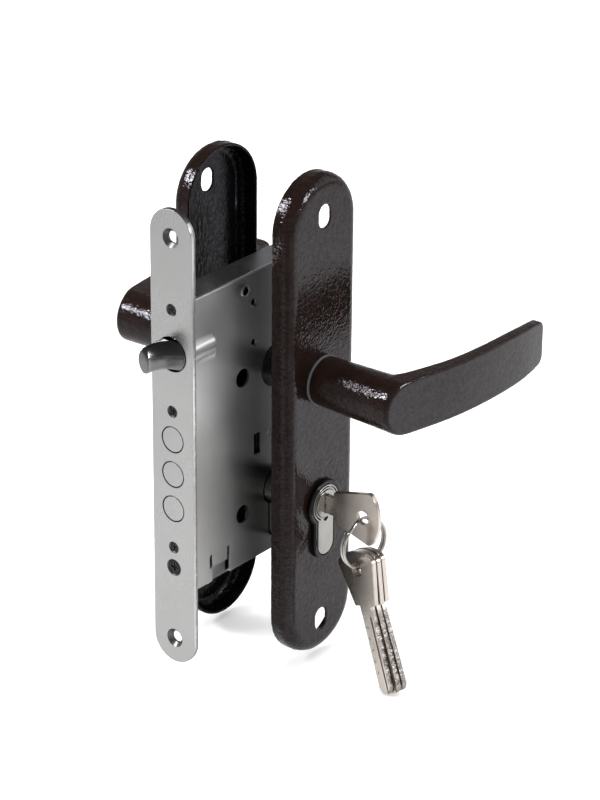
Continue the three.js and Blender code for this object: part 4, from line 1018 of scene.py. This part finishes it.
# ============================================================== stage, light, camera
floor_z = BOX_CAD[0].z - 0.0008
FLOOR_IN_METAL = 0.42
fm = M("floor_paper")
tone = fm.noise(3.0, 2.0, 0.5)
paper = fm.mix(tone, (0.86, 0.86, 0.86), (0.885, 0.885, 0.885))
pos = fm.n("SeparateXYZ", i0=fm.n("NewGeometry").outputs["Position"])
# painted light and shade: in reflections the floor has its own colour, darker towards the front, brighter behind and
# darker beside the case
away = fm.math("ADD", fm.math("MULTIPLY", pos.outputs[0], 0.63), fm.math("MULTIPLY", pos.outputs[1], 0.777))
front = fm.ramp(away, -0.55, 0.02, FLOOR_IN_METAL * 0.60, FLOOR_IN_METAL * 0.97, smooth=False)
back = fm.ramp(away, 0.20, 0.62, FLOOR_IN_METAL * 1.85, FLOOR_IN_METAL * 1.1, smooth=False)
far = fm.math("ADD", fm.math("MULTIPLY", front, fm.ramp(away, 0.0, 0.06, 1.0, 0.0)), fm.math("MULTIPLY", back, fm.ramp(away, 0.0, 0.06, 0.0, 1.0)))
beside = fm.math("MULTIPLY", fm.ramp(pos.outputs[0], 0.06, 0.16, 0.0, 0.62), fm.ramp(pos.outputs[1], 0.02, 0.16, 1.0, 0.0))
far = fm.math("MULTIPLY", far, fm.math("SUBTRACT", 1.0, beside))
dim = fm.n("CombineXYZ", i0=far, i1=far, i2=far).outputs[0]
rays = fm.n("LightPath")
out = fm.n("VectorMath", {"operation": "LENGTH"}, i0=fm.n("NewGeometry").outputs["Position"]).outputs["Value"]
seen = rays.outputs["Is Glossy Ray"]
fl_mat = fm.done(Base_Color=fm.mix(seen, paper, dim), Roughness=0.7, Specular_IOR_Level=0.1, Emission_Color=(1.0, 1.0, 1.0), Emission_Strength=fm.math("MULTIPLY", rays.outputs["Is Camera Ray"], fm.ramp(out, 0.5, 2.2, 0.22, 0.95)), Normal=fm.bump(fm.noise(900.0, 2.0, 0.5), 0.01))
bm = bmesh.new()
bmesh.ops.create_grid(bm, x_segments=24, y_segments=24, size=6.0)
me = bpy.data.meshes.new("studio_floor")
bm.to_mesh(me)
bm.free()
me.materials.append(fl_mat)
floor = bpy.data.objects.new("studio_floor", me)
floor.location = (0, 2.0, floor_z)
bpy.context.scene.collection.objects.link(floor)

world = bpy.data.worlds.new("studio")
bpy.context.scene.world = world
world.use_nodes = True
wt = world.node_tree
wt.nodes.clear()


def wn(kind, props=None, **ins):
    nd = wt.nodes.new("ShaderNode" + kind)
    for k, v in (props or {}).items():
        setattr(nd, k, v)
    for k, v in ins.items():
        s = nd.inputs[int(k[1:])] if k[0] == "i" and k[1:].isdigit() else nd.inputs[k.replace("_", " ")]
        if isinstance(v, bpy.types.NodeSocket):
            wt.links.new(v, s)
        else:
            s.default_value = v
    return nd


lp = wn("LightPath")
tc = wn("TexCoord")
zz = wn("SeparateXYZ", i0=tc.outputs["Generated"]).outputs[2]
grad = wn("ValToRGB", i0=wn("MapRange", i0=zz, i1=0.0, i2=1.0, i3=0.0, i4=1.0).outputs[0])
cr = grad.color_ramp
cr.elements[0].position, cr.elements[0].color = 0.0, (0.55, 0.55, 0.56, 1)
cr.elements[1].position, cr.elements[1].color = 1.0, (0.10, 0.10, 0.105, 1)
mid = cr.elements.new(0.30)
mid.color = (0.19, 0.19, 0.20, 1)
bg_gloss = wn("Background", Color=grad.outputs[0], Strength=1.0)
bg_diff = wn("Background", Color=(1, 1, 1, 1), Strength=0.75)
bg_cam = wn("Background", Color=(1, 1, 1, 1), Strength=1.0)
mx = wn("MixShader", i0=lp.outputs["Is Glossy Ray"], i1=bg_diff.outputs[0], i2=bg_gloss.outputs[0])
mx2 = wn("MixShader", i0=lp.outputs["Is Camera Ray"], i1=mx.outputs[0], i2=bg_cam.outputs[0])
wo = wt.nodes.new("ShaderNodeOutputWorld")
wt.links.new(mx2.outputs[0], wo.inputs[0])


def softbox(name, direction, dist, sx, sy, power, glossy=True, target=(0.03, 0.06, -0.02), diffuse=True):
    li = bpy.data.lights.new(name, "AREA")
    li.shape, li.size, li.size_y, li.energy = "RECTANGLE", sx, sy, power
    ob = bpy.data.objects.new(name, li)
    d = Vector(direction).normalized()
    ob.location = Vector(target) + d * dist
    ob.rotation_mode = "QUATERNION"
    ob.rotation_quaternion = (-d).to_track_quat("-Z", "Y")
    ob.visible_glossy = glossy
    ob.visible_diffuse = diffuse
    ob.visible_camera = False
    bpy.context.scene.collection.objects.link(ob)
    return ob


softbox("top_fill", (0.1, 0.1, 1.0), 1.6, 2.2, 2.2, 34.0, glossy=False)
softbox("key_left", (-0.57, -0.56, 0.60), 1.1, 0.30, 0.26, 9.0)
softbox("key_right", (0.87, 0.25, 0.40), 1.2, 0.30, 0.36, 6.8)
softbox("rim_back", (0.52, 0.70, 0.46), 1.5, 1.1, 0.95, 3.0, diffuse=False)

scene = bpy.context.scene
scene.view_settings.view_transform = "Standard"
scene.view_settings.look = "None"
az, el, roll = math.radians(39.03), math.radians(25.27), math.radians(0.42)
right = Vector((math.cos(az), math.sin(az), 0))
fwd_h = Vector((-math.sin(az), math.cos(az), 0))
fwd = fwd_h * math.cos(el) - Vector((0, 0, 1)) * math.sin(el)
up = fwd_h * math.sin(el) + Vector((0, 0, 1)) * math.cos(el)
Rv = right * math.cos(roll) + up * math.sin(roll)
Uv = up * math.cos(roll) - right * math.sin(roll)
cam_data = bpy.data.cameras.new("camera")
cam_data.lens, cam_data.sensor_width, cam_data.sensor_fit = 148.73, 36.0, "AUTO"
cam_data.clip_start, cam_data.clip_end = 0.01, 50.0
cam = bpy.data.objects.new("camera", cam_data)
cam.matrix_world = Matrix(((Rv.x, Uv.x, -fwd.x, 0.82682), (Rv.y, Uv.y, -fwd.y, -0.93523), (Rv.z, Uv.z, -fwd.z, 0.59145), (0, 0, 0, 1)))
scene.collection.objects.link(cam)
scene.camera = cam
